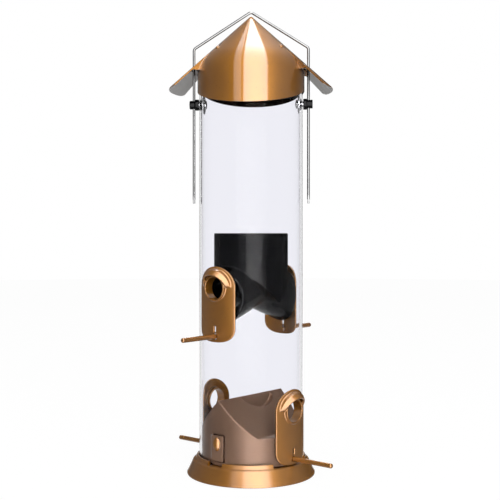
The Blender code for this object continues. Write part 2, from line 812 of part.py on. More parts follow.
def wire_mesh(name, points, radius):
    """A round wire along points, made a mesh with closed ends."""
    curve = bpy.data.curves.new(name, "CURVE")
    curve.dimensions = "3D"
    curve.bevel_depth = radius
    curve.bevel_resolution = 2
    curve.use_fill_caps = True
    spline = curve.splines.new("POLY")
    spline.points.add(len(points) - 1)
    for target, point in zip(spline.points, points):
        target.co = (*point, 1)
    guide = put(name + "_path", curve, cutters)
    bpy.context.view_layer.update()
    graph = bpy.context.evaluated_depsgraph_get()
    mesh = bpy.data.meshes.new_from_object(guide.evaluated_get(graph))
    bpy.data.objects.remove(guide)
    bm = bmesh.new()
    bm.from_mesh(mesh)
    bmesh.ops.remove_doubles(bm, verts=bm.verts, dist=0.000001)
    bmesh.ops.recalc_face_normals(bm, faces=bm.faces)
    bm.to_mesh(mesh)
    bm.free()
    return mesh


def make_handle():
    tip = WIRE_TIP_Z + SWAGE_TALL / 2
    corners = [
        Vector((-WIRE_X, 0, tip)),
        Vector((-WIRE_X, 0, WIRE_SHOULDER_Z)),
        Vector((0, 0, WIRE_TOP_Z)),
        Vector((WIRE_X, 0, WIRE_SHOULDER_Z)),
        Vector((WIRE_X, 0, tip)),
    ]
    handle = put("wire_handle", wire_mesh("wire", bend_points(corners, WIRE_BEND), WIRE_R), parts)
    for side, sign in (("left", -1), ("right", 1)):
        swage = block(
            f"swage_{side}",
            (sign * WIRE_X - SWAGE_THICK / 2, -SWAGE_WIDE / 2, WIRE_TIP_Z),
            (sign * WIRE_X + SWAGE_THICK / 2, SWAGE_WIDE / 2, WIRE_TIP_Z + SWAGE_TALL),
            cutters,
        )
        boolean(handle, as_cutter(swage), "UNION")
    finish_material(handle, STEEL)


def make_stud(side, azimuth):
    outer = WIRE_X + STUD_SIDE
    stud = rod(f"stud_{side}", azimuth, STUD_START, STUD_WAIST, STUD_Z, STUD_COLLAR_R, parts)
    body = rod(
        f"stud_body_{side}", azimuth, STUD_WAIST - GAP, outer, STUD_Z, STUD_BODY_R, cutters, steps=20
    )
    boolean(stud, as_cutter(body), "UNION")
    depth = WIRE_X - WIRE_R - WIRE_CLEAR - STUD_WEB
    bore = rod(f"stud_bore_{side}", azimuth, TUBE_R - MM, depth, STUD_Z, SCREW_R + GAP, cutters, steps=16)
    boolean(stud, as_cutter(bore))
    hole = put(
        f"stud_wire_hole_{side}",
        disc_mesh(WIRE_R + WIRE_CLEAR, STUD_Z - 10 * MM, STUD_Z + 10 * MM, 16),
        cutters,
    )
    hole.location = spot(azimuth, WIRE_X, 0)
    boolean(stud, as_cutter(hole))
    finish_material(stud, BLACK)

    sag = TUBE_INNER_R - sqrt(TUBE_INNER_R ** 2 - WASHER_R ** 2)
    washer_out = TUBE_INNER_R - sag - GAP
    washer_in = washer_out - WASHER_THICK
    washer = rod(f"washer_{side}", azimuth, washer_in, washer_out, STUD_Z, WASHER_R, parts, steps=28)
    eye = rod(
        f"washer_eye_{side}", azimuth, washer_in - MM, washer_out + MM, STUD_Z, SCREW_R + GAP, cutters, steps=16
    )
    boolean(washer, as_cutter(eye))
    finish_material(washer, ZINC)

    head_out = washer_in - GAP
    screw = rod(
        f"stud_screw_{side}", azimuth, head_out - 0.4 * MM, depth - GAP, STUD_Z, SCREW_R, parts, steps=16
    )
    head = rod(
        f"stud_screw_head_{side}",
        azimuth,
        head_out - SCREW_HEAD,
        head_out,
        STUD_Z,
        SCREW_HEAD_R * 0.8,
        cutters,
        steps=16,
        tip=SCREW_HEAD_R,
    )
    boolean(screw, as_cutter(head), "UNION")
    finish_material(screw, ZINC)


def make_base_screws():
    under = FLANGE_STEP_Z - FLANGE_WALL * 1.15 - GAP
    top = FLANGE_LEDGE_Z + 6.5 * MM
    for i, azimuth in enumerate(BASE_SCREW_AZ):
        screw = put(f"base_screw_{i + 1}", disc_mesh(SCREW_R, under - 0.5 * MM, top, 14), parts)
        head = put(
            f"base_screw_head_{i + 1}", disc_mesh(SCREW_HEAD_R, under - SCREW_HEAD, under, 14), cutters
        )
        for piece in (screw, head):
            piece.location = spot(azimuth, BASE_SCREW_RING, 0)
        boolean(screw, as_cutter(head), "UNION")
        finish_material(screw, ZINC)


make_base_flange()
make_base_insert()
for latch_side, latch_turn in (("front", 0.0), ("back", radians(180))):
    make_latch(latch_side, latch_turn)
make_tube()
for port_name, port_azimuth, port_bottom in port_places():
    make_port(port_name, port_azimuth, port_bottom)
make_diverter()
make_roof()
make_handle()
for stud_side, stud_azimuth in (("left", radians(-90)), ("right", radians(90))):
    make_stud(stud_side, stud_azimuth)
make_base_screws()
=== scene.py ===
# %% [markdown]
# # A tube bird feeder, from its frame to its finish
#
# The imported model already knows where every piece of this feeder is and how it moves. This lesson puts the
# fine shapes and the finishes on it: gold-bronze paint, a clear tube, glossy black plastic and drawn wire.
# Lengths are in metres, +Z is up, and the origin is the centre of the foot.

# %% Load the frame
from math import atan2, cos, degrees, radians, sin, sqrt, tan

import bmesh
import bpy
from mathutils import Matrix, Vector


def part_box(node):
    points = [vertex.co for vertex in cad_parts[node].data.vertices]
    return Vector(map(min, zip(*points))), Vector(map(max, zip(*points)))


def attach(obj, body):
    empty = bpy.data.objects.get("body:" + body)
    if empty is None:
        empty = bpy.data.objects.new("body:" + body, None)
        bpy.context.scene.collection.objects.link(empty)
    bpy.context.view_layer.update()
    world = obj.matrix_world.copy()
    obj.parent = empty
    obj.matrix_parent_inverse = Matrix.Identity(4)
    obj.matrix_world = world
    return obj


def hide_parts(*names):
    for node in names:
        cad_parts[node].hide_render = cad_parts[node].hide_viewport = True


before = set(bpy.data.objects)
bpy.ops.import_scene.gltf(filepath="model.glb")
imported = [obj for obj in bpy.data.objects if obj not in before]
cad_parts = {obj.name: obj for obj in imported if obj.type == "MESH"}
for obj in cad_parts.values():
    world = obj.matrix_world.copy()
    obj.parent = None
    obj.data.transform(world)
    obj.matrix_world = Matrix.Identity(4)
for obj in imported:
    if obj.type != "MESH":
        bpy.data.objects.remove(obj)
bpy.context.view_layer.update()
MM = 0.001

# %% [markdown]
# ## Camera and studio
#
# The feeder is shown against plain white. The camera is level with the upper half of the tube and looks
# straight ahead. It could be aimed down at the middle, but a level camera keeps the tube's sides parallel,
# and a little lens shift frames the feeder.

# %% Camera
CAMERA_AZIMUTH = radians(4.0)
CAMERA_DISTANCE = 0.701
CAMERA_HEIGHT = 0.1761

camera_data = bpy.data.cameras.new("camera")
camera_data.lens = 68.4
camera_data.sensor_width = 36.0
camera_data.shift_x = -0.002
camera_data.shift_y = -0.034
camera = bpy.data.objects.new("camera", camera_data)
bpy.context.scene.collection.objects.link(camera)
camera.location = (
    CAMERA_DISTANCE * sin(CAMERA_AZIMUTH),
    -CAMERA_DISTANCE * cos(CAMERA_AZIMUTH),
    CAMERA_HEIGHT,
)
camera.rotation_euler = (radians(90), 0, CAMERA_AZIMUTH)
bpy.context.scene.camera = camera
bpy.context.scene.view_settings.view_transform = "Standard"
print("camera at", [round(v, 3) for v in camera.location])


# %% Helpers for materials
def set_inputs(node, values):
    """Sets a node's inputs by name."""
    for label, value in values.items():
        node.inputs[label].default_value = value


def new_material(name):
    """A material, its node tree and its Principled shader."""
    material = bpy.data.materials.new(name)
    material.use_nodes = True
    return material, material.node_tree, material.node_tree.nodes["Principled BSDF"]


def link(tree, rows):
    """Links nodes by rows of (node, output, node, input)."""
    for source, output, target, entry in rows:
        tree.links.new(source.outputs[output], target.inputs[entry])


# %% [markdown]
# Three soft boxes light the paint from in front, from the left and from above. The gloss doesn't see them,
# because the studio air below draws its reflections.

# %% Lights
TARGET = Vector((0, 0, 0.18))


def area_light(name, azimuth, distance, height, wide, tall, power):
    """A soft box that faces the feeder. The azimuth is measured from the front towards +X."""
    data = bpy.data.lights.new(name, "AREA")
    data.shape = "RECTANGLE"
    data.size = wide
    data.size_y = tall
    data.energy = power
    lamp = bpy.data.objects.new(name, data)
    bpy.context.scene.collection.objects.link(lamp)
    a = radians(azimuth)
    lamp.location = (distance * sin(a), -distance * cos(a), height)
    lamp.visible_glossy = False
    lamp.rotation_mode = "QUATERNION"
    lamp.rotation_quaternion = (TARGET - lamp.location).to_track_quat("-Z", "Y")
    return lamp


for row in (
    ("front_box", 16, 1.5, 0.5, 1.2, 1.2, 12),
    ("left_fill", -60, 1.6, 0.5, 0.8, 1.2, 1),
    ("overhead", 10, 0.5, 1.8, 0.7, 0.7, 3),
):
    lamp = area_light(*row)
    print(lamp.name, lamp.data.energy, "W")

# %% [markdown]
# The air of the studio is white where the camera sees it, and a little greyer through the clear tube. What
# the gloss sees is a room of upright bands: a bright panel in front, a narrow strip left of it, a dim wall on
# the left, a lighter one on the right, a pale floor, and dark corners. A band is placed by the azimuth that a
# surface faces when it mirrors the band to the front camera. A cone and the skirt under it then carry one
# straight band, as a long flat panel gives on a real roof. The direction is a fixed number, so nothing here
# follows the camera in other views.

# %% Studio air
BANDS = (
    # start, full, fade and end in degrees from the camera, and brightness
    (-9, -6.5, 16, 19, 10.0),  # panel
    (-19.5, -17, -11, -9.5, 3.2),  # strip
    (-88, -50, -26, -19, 0.3),  # left wall
    (14, 22, 30, 72, 0.8),  # right wall
)
HORIZON = (-0.5, -0.3)
FLOOR = 0.85
CORNER = 0.04
TUBE_EDGE = 0.9
TUBE_CROSSINGS = (0.5, 3.5)
PAINT_AIR = 0.2
THROUGH_TUBE = (0.9, 0.9, 0.945)


def make_air():
    world = bpy.data.worlds.new("studio_air")
    world.use_nodes = True
    tree = world.node_tree
    bpy.context.scene.world = world
    place = tree.nodes.new("ShaderNodeTexCoord")
    facet = tree.nodes.new("ShaderNodeVectorMath")
    facet.operation = "SUBTRACT"
    facet.inputs[1].default_value = (-sin(CAMERA_AZIMUTH), cos(CAMERA_AZIMUTH), 0)
    even = tree.nodes.new("ShaderNodeVectorMath")
    even.operation = "NORMALIZE"
    split = tree.nodes.new("ShaderNodeSeparateXYZ")
    link(tree, [
        (place, "Generated", facet, 0),
        (facet, "Vector", even, 0),
        (even, "Vector", split, "Vector"),
    ])

    def math(operation, first, second=0.0, third=None):
        node = tree.nodes.new("ShaderNodeMath")
        node.operation = operation
        for socket, value in zip(node.inputs, (first, second, third)):
            if value is None:
                continue
            if isinstance(value, (int, float)):
                socket.default_value = value
            else:
                tree.links.new(value, socket)
        return node.outputs["Value"]

    def ramp(value, low, high):
        """0 below low and 1 above high, with a soft step between. low may be above high."""
        node = tree.nodes.new("ShaderNodeMapRange")
        node.interpolation_type = "SMOOTHSTEP"
        set_inputs(node, {"From Min": low, "From Max": high})
        tree.links.new(value, node.inputs["Value"])
        return node.outputs["Result"]

    x, y, z = (split.outputs[axis] for axis in "XYZ")
    turn = math("ARCTAN2", x, math("MULTIPLY", y, -1.0))
    turn = math("MULTIPLY_ADD", turn, degrees(1.0), -degrees(CAMERA_AZIMUTH))

    def band(start, full, fade, end, level):
        """An upright band of light between two azimuths, with soft edges."""
        return math("MULTIPLY", math("MULTIPLY", ramp(turn, start, full), ramp(turn, end, fade)), level)

    room = band(*BANDS[0])
    for row in BANDS[1:]:
        room = math("ADD", room, band(*row))
    above = math("MULTIPLY", room, ramp(z, *HORIZON))
    below = math("MULTIPLY", ramp(z, *reversed(HORIZON)), FLOOR)
    room = math("ADD", math("ADD", above, below), CORNER)

    path = tree.nodes.new("ShaderNodeLightPath")
    crossings = path.outputs["Transmission Depth"]
    some, few = TUBE_CROSSINGS
    in_wall = math("MULTIPLY", math("GREATER_THAN", crossings, some), math("LESS_THAN", crossings, few))
    room = math("ADD", room, math("MULTIPLY", math("SUBTRACT", TUBE_EDGE, room), in_wall))
    glossy = math("GREATER_THAN", path.outputs["Glossy Depth"], 0.5)
    diffuse = math("GREATER_THAN", path.outputs["Diffuse Depth"], 0.5)
    tree.nodes.remove(tree.nodes["Background"])
    shades = [
        ((*THROUGH_TUBE, 1), None, crossings),
        (None, room, glossy),
        ((PAINT_AIR, PAINT_AIR, PAINT_AIR, 1), None, diffuse),
    ]
    level = None
    for fixed, source, factor in shades:
        mix = tree.nodes.new("ShaderNodeMix")
        mix.data_type = "RGBA"
        mix.inputs["A"].default_value = (1, 1, 1, 1)
        tree.links.new(math("MINIMUM", factor, 1.0), mix.inputs["Factor"])
        if level:
            tree.links.new(level, mix.inputs["A"])
        if fixed:
            mix.inputs["B"].default_value = fixed
        else:
            tree.links.new(source, mix.inputs["B"])
        level = mix.outputs["Result"]
    air = tree.nodes.new("ShaderNodeBackground")
    tree.links.new(level, air.inputs["Color"])
    tree.links.new(air.outputs["Background"], tree.nodes["World Output"].inputs["Surface"])


make_air()
print("studio air with", len(BANDS), "bands")

# %% [markdown]
# The feeder stands on a plain pale floor. The floor glows almost as white as the air, so that its horizon
# hardly shows, and it takes only a faint shadow. Gloss and clear plastic see the studio air in its place.

# %% Floor
FLOOR_R = 3.0
FLOOR_GLOW = 0.95
FLOOR_PAINT = 0.12
FLOOR_DROP = 0.2 * MM

floor_mesh = bpy.data.meshes.new("studio_floor")
floor_shape = bmesh.new()
bmesh.ops.create_circle(floor_shape, cap_ends=True, segments=128, radius=FLOOR_R)
floor_shape.to_mesh(floor_mesh)
floor_shape.free()
studio_floor = bpy.data.objects.new("studio_floor", floor_mesh)
bpy.context.scene.collection.objects.link(studio_floor)
studio_floor.location.z = -FLOOR_DROP
studio_floor.visible_diffuse = False
studio_floor.visible_glossy = False
studio_floor.visible_transmission = False
floor_paint, _, floor_shader = new_material("pale_floor")
set_inputs(floor_shader, {
    "Base Color": (FLOOR_PAINT, FLOOR_PAINT, FLOOR_PAINT, 1),
    "Roughness": 1.0,
    "Specular IOR Level": 0.0,
    "Emission Color": (1, 1, 1, 1),
    "Emission Strength": FLOOR_GLOW,
})
floor_mesh.materials.append(floor_paint)
print("floor", FLOOR_R, "m in radius")

# %% [markdown]
# ## Effects that several finishes share
#
# Paint, plastic and wire all need the same small truths: colour that drifts a little, a grain that breaks up
# the gloss, and specks that settled outdoors. Each is one shader node group with named inputs, so that every
# finish can ask for its own amount. A group gives out only values and normals, and the shader stays outside.

# %% Shader node groups
def new_group(name, inputs, outputs):
    """A shader node group with float inputs (name, default) and outputs (name, socket type)."""
    group = bpy.data.node_groups.new(name, "ShaderNodeTree")
    for label, default in inputs:
        socket = group.interface.new_socket(label, in_out="INPUT", socket_type="NodeSocketFloat")
        socket.default_value = default
    for label, kind in outputs:
        group.interface.new_socket(label, in_out="OUTPUT", socket_type=kind)
    return group, group.nodes.new("NodeGroupInput"), group.nodes.new("NodeGroupOutput")


def make_drift():
    """Soft patches between Low and High."""
    group, enter, leave = new_group(
        "soft_drift", [("Scale", 20.0), ("Low", 0.0), ("High", 1.0)], [("Value", "NodeSocketFloat")]
    )
    place = group.nodes.new("ShaderNodeTexCoord")
    noise = group.nodes.new("ShaderNodeTexNoise")
    noise.inputs["Detail"].default_value = 4.0
    reach = group.nodes.new("ShaderNodeMapRange")
    set_inputs(reach, {"From Min": 0.3, "From Max": 0.7})
    link(group, [
        (place, "Object", noise, "Vector"),
        (enter, "Scale", noise, "Scale"),
        (noise, "Fac", reach, "Value"),
        (enter, "Low", reach, "To Min"),
        (enter, "High", reach, "To Max"),
        (reach, "Result", leave, "Value"),
    ])
    return group


def make_grain():
    """A fine grain as a normal. Stretch draws it out along Z."""
    group, enter, leave = new_group(
        "fine_grain",
        [("Scale", 900.0), ("Strength", 0.1), ("Depth", 0.00003), ("Stretch", 1.0)],
        [("Normal", "NodeSocketVector")],
    )
    place = group.nodes.new("ShaderNodeTexCoord")
    split = group.nodes.new("ShaderNodeSeparateXYZ")
    join = group.nodes.new("ShaderNodeCombineXYZ")
    squeeze = group.nodes.new("ShaderNodeMath")
    squeeze.operation = "DIVIDE"
    noise = group.nodes.new("ShaderNodeTexNoise")
    noise.inputs["Detail"].default_value = 2.0
    bump = group.nodes.new("ShaderNodeBump")
    link(group, [
        (place, "Object", split, "Vector"),
        (split, "X", join, "X"),
        (split, "Y", join, "Y"),
        (split, "Z", squeeze, 0),
        (enter, "Stretch", squeeze, 1),
        (squeeze, "Value", join, "Z"),
        (join, "Vector", noise, "Vector"),
        (enter, "Scale", noise, "Scale"),
        (noise, "Fac", bump, "Height"),
        (enter, "Strength", bump, "Strength"),
        (enter, "Depth", bump, "Distance"),
        (bump, "Normal", leave, "Normal"),
    ])
    return group


def make_specks():
    """Small scattered specks, 1 inside a speck. Amount is the share of cells that hold one."""
    group, enter, leave = new_group(
        "settled_specks", [("Scale", 300.0), ("Amount", 0.1)], [("Mask", "NodeSocketFloat")]
    )
    place = group.nodes.new("ShaderNodeTexCoord")
    cells = group.nodes.new("ShaderNodeTexVoronoi")
    small = group.nodes.new("ShaderNodeMapRange")
    set_inputs(small, {"From Min": 0.34, "From Max": 0.18})
    chosen = group.nodes.new("ShaderNodeMath")
    chosen.operation = "LESS_THAN"
    tint = group.nodes.new("ShaderNodeSeparateColor")
    both = group.nodes.new("ShaderNodeMath")
    both.operation = "MULTIPLY"
    link(group, [
        (place, "Object", cells, "Vector"),
        (enter, "Scale", cells, "Scale"),
        (cells, "Distance", small, "Value"),
        (cells, "Color", tint, "Color"),
        (tint, "Red", chosen, 0),
        (enter, "Amount", chosen, 1),
        (small, "Result", both, 0),
        (chosen, "Value", both, 1),
        (both, "Value", leave, "Mask"),
    ])
    return group


DRIFT = make_drift()
GRAIN = make_grain()
SPECKS = make_specks()
print("groups", [group.name for group in (DRIFT, GRAIN, SPECKS)])


# %% Helpers that place the groups
def effect(tree, group, **values):
    """A group placed in a material, with its inputs set by name."""
    node = tree.nodes.new("ShaderNodeGroup")
    node.node_tree = group
    set_inputs(node, values)
    return node


def blend_colours(tree, factor, first, second):
    """A colour between two, or between another node's colour and one."""
    mix = tree.nodes.new("ShaderNodeMix")
    mix.data_type = "RGBA"
    tree.links.new(factor, mix.inputs["Factor"])
    for socket, colour in (("A", first), ("B", second)):
        if isinstance(colour, tuple):
            mix.inputs[socket].default_value = (*colour, 1)
        else:
            tree.links.new(colour, mix.inputs[socket])
    return mix.outputs["Result"]


def finish(name, sheen, grain, values, colours=None, tone=None, fleck=None, specks=None):
    """A material with a drifting sheen and a grain, and a colour that drifts and may hold specks.

    sheen is the drift's (scale, low, high), grain is (scale, strength, depth, stretch), colours are
    (dark, light), tone is their drift's scale, fleck is the specks' colour and specks is (scale, amount).
    """
    material, tree, shader = new_material(name)
    if colours:
        drift = effect(tree, DRIFT, Scale=tone, Low=0.0, High=1.0)
        body = blend_colours(tree, drift.outputs["Value"], *colours)
        if fleck:
            mask = effect(tree, SPECKS, Scale=specks[0], Amount=specks[1])
            body = blend_colours(tree, mask.outputs["Mask"], body, fleck)
        tree.links.new(body, shader.inputs["Base Color"])
    scale, strength, depth, stretch = grain
    link(tree, [
        (effect(tree, DRIFT, Scale=sheen[0], Low=sheen[1], High=sheen[2]), "Value", shader, "Roughness"),
        (
            effect(tree, GRAIN, Scale=scale, Strength=strength, Depth=depth, Stretch=stretch),
            "Normal",
            shader,
            "Normal",
        ),
    ])
    set_inputs(shader, values)
    return material


# %% [markdown]
# ## Finishes
#
# The metal of this feeder is sprayed with a gold-bronze paint that holds fine metal flake, under a lacquer.
# It could be a bare metal shader, but that mirrors too much. A third of metal over a brown body gives the
# soft glow of flake, and a clear coat gives the crisp white highlight. The roof's coat is smooth, and that of
# the ports, perches and base is satin. A slow drift of colour keeps large faces from looking like plastic.
# The ramp inside is a browner paint with almost no coat.

# %% Painted metal
def painted(name, light, dark, fleck, rough, metallic, coat, coat_rough=0.05):
    values = {
        "Metallic": metallic,
        "Specular IOR Level": 0.12,
        "Coat Weight": coat,
        "Coat Roughness": coat_rough,
    }
    sheen = (70.0, rough - 0.03, rough + 0.04)
    grain = (1500.0, 0.3, 0.00002, 1.0)
    return finish(name, sheen, grain, values, (dark, light), 26.0, fleck, (900.0, 0.03))


gold_paint = painted(
    "gold_bronze_paint", (0.33, 0.132, 0.014), (0.27, 0.105, 0.010), (0.16, 0.07, 0.01), 0.42, 0.34, 1.0
)
gold_satin = painted(
    "gold_bronze_satin", (0.33, 0.135, 0.016), (0.26, 0.1, 0.011), (0.15, 0.07, 0.01), 0.4, 0.34, 0.9, 0.2
)
copper_paint = painted(
    "copper_brown_paint", (0.36, 0.215, 0.145), (0.30, 0.175, 0.115), (0.24, 0.14, 0.09), 0.4, 0.1, 0.05
)
bare_metal = painted(
    "bare_underside", (0.46, 0.45, 0.44), (0.4, 0.39, 0.38), (0.3, 0.29, 0.28), 0.4, 0.5, 0.0
)
# Painted shade: a dark brown for the inside of the roof's skirt and cone, where the roof's shade falls.
painted_shade_inside = painted(
    "painted_shade_inside", (0.06, 0.03, 0.02), (0.045, 0.022, 0.015), (0.03, 0.015, 0.01), 0.2, 0.5, 0.3
)
print("painted", [m.name for m in (gold_paint, gold_satin, copper_paint, bare_metal, painted_shade_inside)])

# %% [markdown]
# Clear tube: polished plastic 1.6 mm thick, modelled as a real wall with an inside and an outside. The real
# index is near 1.5, which would put dark edges and strong reflections on so simple a studio. A low index
# keeps the wall light and thin to the eye. Its roughness drifts a little, as handling leaves it, and long,
# faint ripples from extruding run along it.

# %% Clear plastic
tube_plastic = finish(
    "clear_tube_plastic",
    (34.0, 0.0, 0.02),
    (240.0, 0.03, 0.00001, 60.0),
    {
        "Base Color": (0.975, 0.975, 0.985, 1),
        "Transmission Weight": 1.0,
        "IOR": 1.12,
        "Specular Tint": (0.3, 0.3, 0.3, 1),
    },
)
print(tube_plastic.name)

# %% [markdown]
# The diverter and the studs are black moulded plastic with a narrow, weak highlight and a few specks of dust.
# The wire is drawn, so its grain is stretched along its legs. Washers and screws are dull zinc.

# %% Black plastic, drawn wire and zinc
def bare_steel(name, light, dark, rough, stretch):
    sheen = (160.0, rough - 0.05, rough + 0.07)
    return finish(name, sheen, (1800.0, 0.3, 0.00002, stretch), {"Metallic": 1.0}, (dark, light), 90.0)


gloss_black = finish(
    "glossy_black_plastic",
    (120.0, 0.05, 0.1),
    (700.0, 0.12, 0.00002, 1.0),
    {"Specular IOR Level": 0.06},
    ((0.004, 0.004, 0.005), (0.008, 0.008, 0.010)),
    60.0,
    (0.05, 0.05, 0.052),
    (500.0, 0.015),
)
drawn_wire = bare_steel("drawn_stainless_wire", (0.12, 0.12, 0.12), (0.09, 0.09, 0.09), 0.16, 40.0)
zinc_plate = bare_steel("zinc_plate", (0.34, 0.34, 0.35), (0.26, 0.26, 0.27), 0.36, 1.0)
print("finishes", [m.name for m in bpy.data.materials])

# %% [markdown]
# ## Tools for the fine shapes
#
# The CAD pieces are closed and exact, and coarse where the eye is not. Each fine piece is built to the same
# sizes with more steps and softer edges. A piece is first a stack of modifiers, then `settle` turns it into a
# plain mesh with its place in the mesh. Cast pieces go through a fine voxel remesh and a little smoothing,
# which rounds every edge the way a mould and a coat of paint do.
#
# The frame gives the places that pieces must meet, so they are read from it and not typed again.

# %% Sizes that the frame gives
def box_of(node):
    low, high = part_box(node)
    return Vector(low), Vector(high)


tube_low, tube_high = box_of("clear_tube")
TUBE_R = tube_high.x
TUBE_BOTTOM = tube_low.z
TUBE_TOP = tube_high.z
TUBE_WALL = 1.6 * MM
TUBE_INNER_R = TUBE_R - TUBE_WALL
GAP = 0.3 * MM
FLANGE_R = box_of("base_flange")[1].x
roof_low, roof_high = box_of("roof_shell")
APEX_Z = roof_high.z
WING_R = roof_high.x
stud_low, stud_high = box_of("stud_right")
STUD_Z = (stud_low.z + stud_high.z) / 2
wire_low, wire_high = box_of("wire_handle")
ACROSS = radians(180)
RIGHT_ANGLE = radians(90)
FRONT_AZ = radians(-36)
SIDE_AZ = radians(54)
print("tube", round(TUBE_R, 5), round(TUBE_BOTTOM, 5), round(TUBE_TOP, 5), "stud height", round(STUD_Z, 5))


# %% Shapes
def spot(azimuth, radius, z):
    """A place by azimuth (from the front towards +X), radius and height."""
    return Vector((radius * sin(azimuth), -radius * cos(azimuth), z))


def facing(azimuth, tilt=0.0):
    """Turns +Z to point outwards along an azimuth, tilted down by an angle."""
    outward = Vector((sin(azimuth) * cos(tilt), -cos(azimuth) * cos(tilt), -sin(tilt)))
    side = Vector((cos(azimuth), sin(azimuth), 0))
    return Matrix((side, outward.cross(side), outward)).transposed().to_4x4()


def put(name, mesh):
    thing = bpy.data.objects.new(name, mesh)
    bpy.context.scene.collection.objects.link(thing)
    return thing


def mesh_from(name, build):
    """An object whose mesh a function fills."""
    bm = bmesh.new()
    build(bm)
    bmesh.ops.recalc_face_normals(bm, faces=bm.faces)
    mesh = bpy.data.meshes.new(name)
    bm.to_mesh(mesh)
    bm.free()
    return put(name, mesh)


def evaluated_mesh(thing):
    """A new mesh of an object with its modifiers or its bevel worked out."""
    bpy.context.view_layer.update()
    graph = bpy.context.evaluated_depsgraph_get()
    return bpy.data.meshes.new_from_object(thing.evaluated_get(graph), depsgraph=graph)


def settle(thing):
    """The object with its modifiers worked out and its place moved into its mesh."""
    mesh = evaluated_mesh(thing)
    mesh.transform(thing.matrix_world)
    thing.modifiers.clear()
    thing.data = mesh
    thing.matrix_world = Matrix()
    return thing


def combine(thing, others, operation):
    """A Boolean with each of the others, which are then removed."""
    for other in others:
        modifier = thing.modifiers.new(operation.title(), "BOOLEAN")
        modifier.operation = operation
        modifier.object = other
    settle(thing)
    for other in others:
        bpy.data.objects.remove(other)
    return thing


def cut(thing, *others):
    return combine(thing, others, "DIFFERENCE")


def weld(thing, *others):
    return combine(thing, others, "UNION")


def keep(thing, *others):
    return combine(thing, others, "INTERSECT")


def cast(thing, voxel, rounds, factor=0.5):
    """Rounds every edge of a closed shape."""
    remesh = thing.modifiers.new("Remesh", "REMESH")
    remesh.mode = "VOXEL"
    remesh.voxel_size = voxel
    smooth = thing.modifiers.new("Smooth", "SMOOTH")
    smooth.iterations = rounds
    smooth.factor = factor
    return settle(thing)


def turned(name, profile, steps, closed=True):
    """A profile of (radius, z) turned about Z. An open one starts and ends on the axis."""
    mesh = bpy.data.meshes.new(name)
    edges = [(i, i + 1) for i in range(len(profile) - 1)]
    if closed:
        edges.append((len(profile) - 1, 0))
    mesh.from_pydata([(r, 0, z) for r, z in profile], edges, [])
    thing = put(name, mesh)
    screw = thing.modifiers.new("Screw", "SCREW")
    screw.steps = screw.render_steps = steps
    screw.use_merge_vertices = True
    screw.merge_threshold = 0.000002
    return settle(thing)


def soften(profile, radius, steps=4, closed=True):
    """A profile with each corner rounded by a radius, or less where the sides are short."""
    points = [Vector(p) for p in profile]
    result = []
    count = len(points)
    for i, corner in enumerate(points):
        if not closed and i in (0, count - 1):
            result.append(corner)
            continue
        before = points[i - 1]
        after = points[(i + 1) % count]
        back = min(radius, (before - corner).length * 0.45, (after - corner).length * 0.45)
        start = corner + (before - corner).normalized() * back
        end = corner + (after - corner).normalized() * back
        if (before - corner).length > 6 * back:
            result.append(start + (start - corner))
        for k in range(steps + 1):
            t = k / steps
            result.append(start.lerp(corner, t).lerp(corner.lerp(end, t), t))
        if (after - corner).length > 6 * back:
            result.append(end + (end - corner))
    return [tuple(p) for p in result]


def cylinder(name, radius, low, high, steps=64):
    def build(bm):
        size = {"radius1": radius, "radius2": radius, "depth": high - low}
        bmesh.ops.create_cone(bm, cap_ends=True, segments=steps, **size)
        bmesh.ops.translate(bm, vec=(0, 0, (low + high) / 2), verts=bm.verts)

    return mesh_from(name, build)


def rod(name, azimuth, start, end, z, radius, steps=48):
    """A round rod along an azimuth from one radius to another."""
    return point_out(cylinder(name, radius, start, end, steps), z, azimuth)


def prism(name, outline, length, azimuth):
    """An outline of (across, z), pushed along the horizontal direction square to an azimuth."""
    along = spot(azimuth, 1, 0)
    side = Vector((-along.y, along.x, 0)) * length / 2
    ends = []
    for push in (-side, side):
        ends.append([along * a + push + Vector((0, 0, z)) for a, z in outline])
    return columns(name, ends)


def columns(name, sections):
    """A solid through a row of sections that hold the same number of points."""
    def build(bm):
        rows = [[bm.verts.new(point) for point in section] for section in sections]
        bm.faces.new(rows[0])
        bm.faces.new(rows[-1])
        count = len(rows[0])
        for first, second in zip(rows, rows[1:]):
            for i in range(count):
                j = (i + 1) % count
                bm.faces.new((first[i], first[j], second[j], second[i]))

    return mesh_from(name, build)


def arc_plate(name, azimuth, half, inner, outer, low, high, steps=16):
    sections = []
    for i in range(steps + 1):
        a = azimuth + half * (2 * i / steps - 1)
        corners = ((inner, low), (outer, low), (outer, high), (inner, high))
        sections.append([spot(a, radius, z) for radius, z in corners])
    return columns(name, sections)


def ball(name, size, place, u=48, v=32):
    """A ball scaled to a size, then put in place by a matrix."""
    def build(bm):
        bmesh.ops.create_uvsphere(bm, u_segments=u, v_segments=v, radius=1)
        bmesh.ops.scale(bm, vec=size, verts=bm.verts)
        bmesh.ops.transform(bm, matrix=place, verts=bm.verts)

    return mesh_from(name, build)


def point_out(thing, z, azimuth=0.0):
    """Lays a shape's own axis outwards along an azimuth, at a height."""
    thing.data.transform(Matrix.Translation((0, 0, z)) @ facing(azimuth))
    return thing


def lathe(name, profile, radius, rounds, steps):
    """An outline with rounded corners, turned about Z from axis to axis."""
    return turned(name, soften(profile, radius, rounds, closed=False), steps, closed=False)


DRIVE_THICK = 0.4 * MM


def cut_drive(screw, wide, deep, z):
    """Cuts a cross into a screw's head, which faces down at z."""
    for turn in (0.0, RIGHT_ANGLE):
        drive = cylinder("drive", 1.0, -1.0, 1.0, 4)
        drive.scale = (DRIVE_THICK, wide, deep)
        drive.rotation_euler = (0, 0, turn + RIGHT_ANGLE / 2)
        drive.location = (0, 0, z)
        cut(screw, settle(drive))


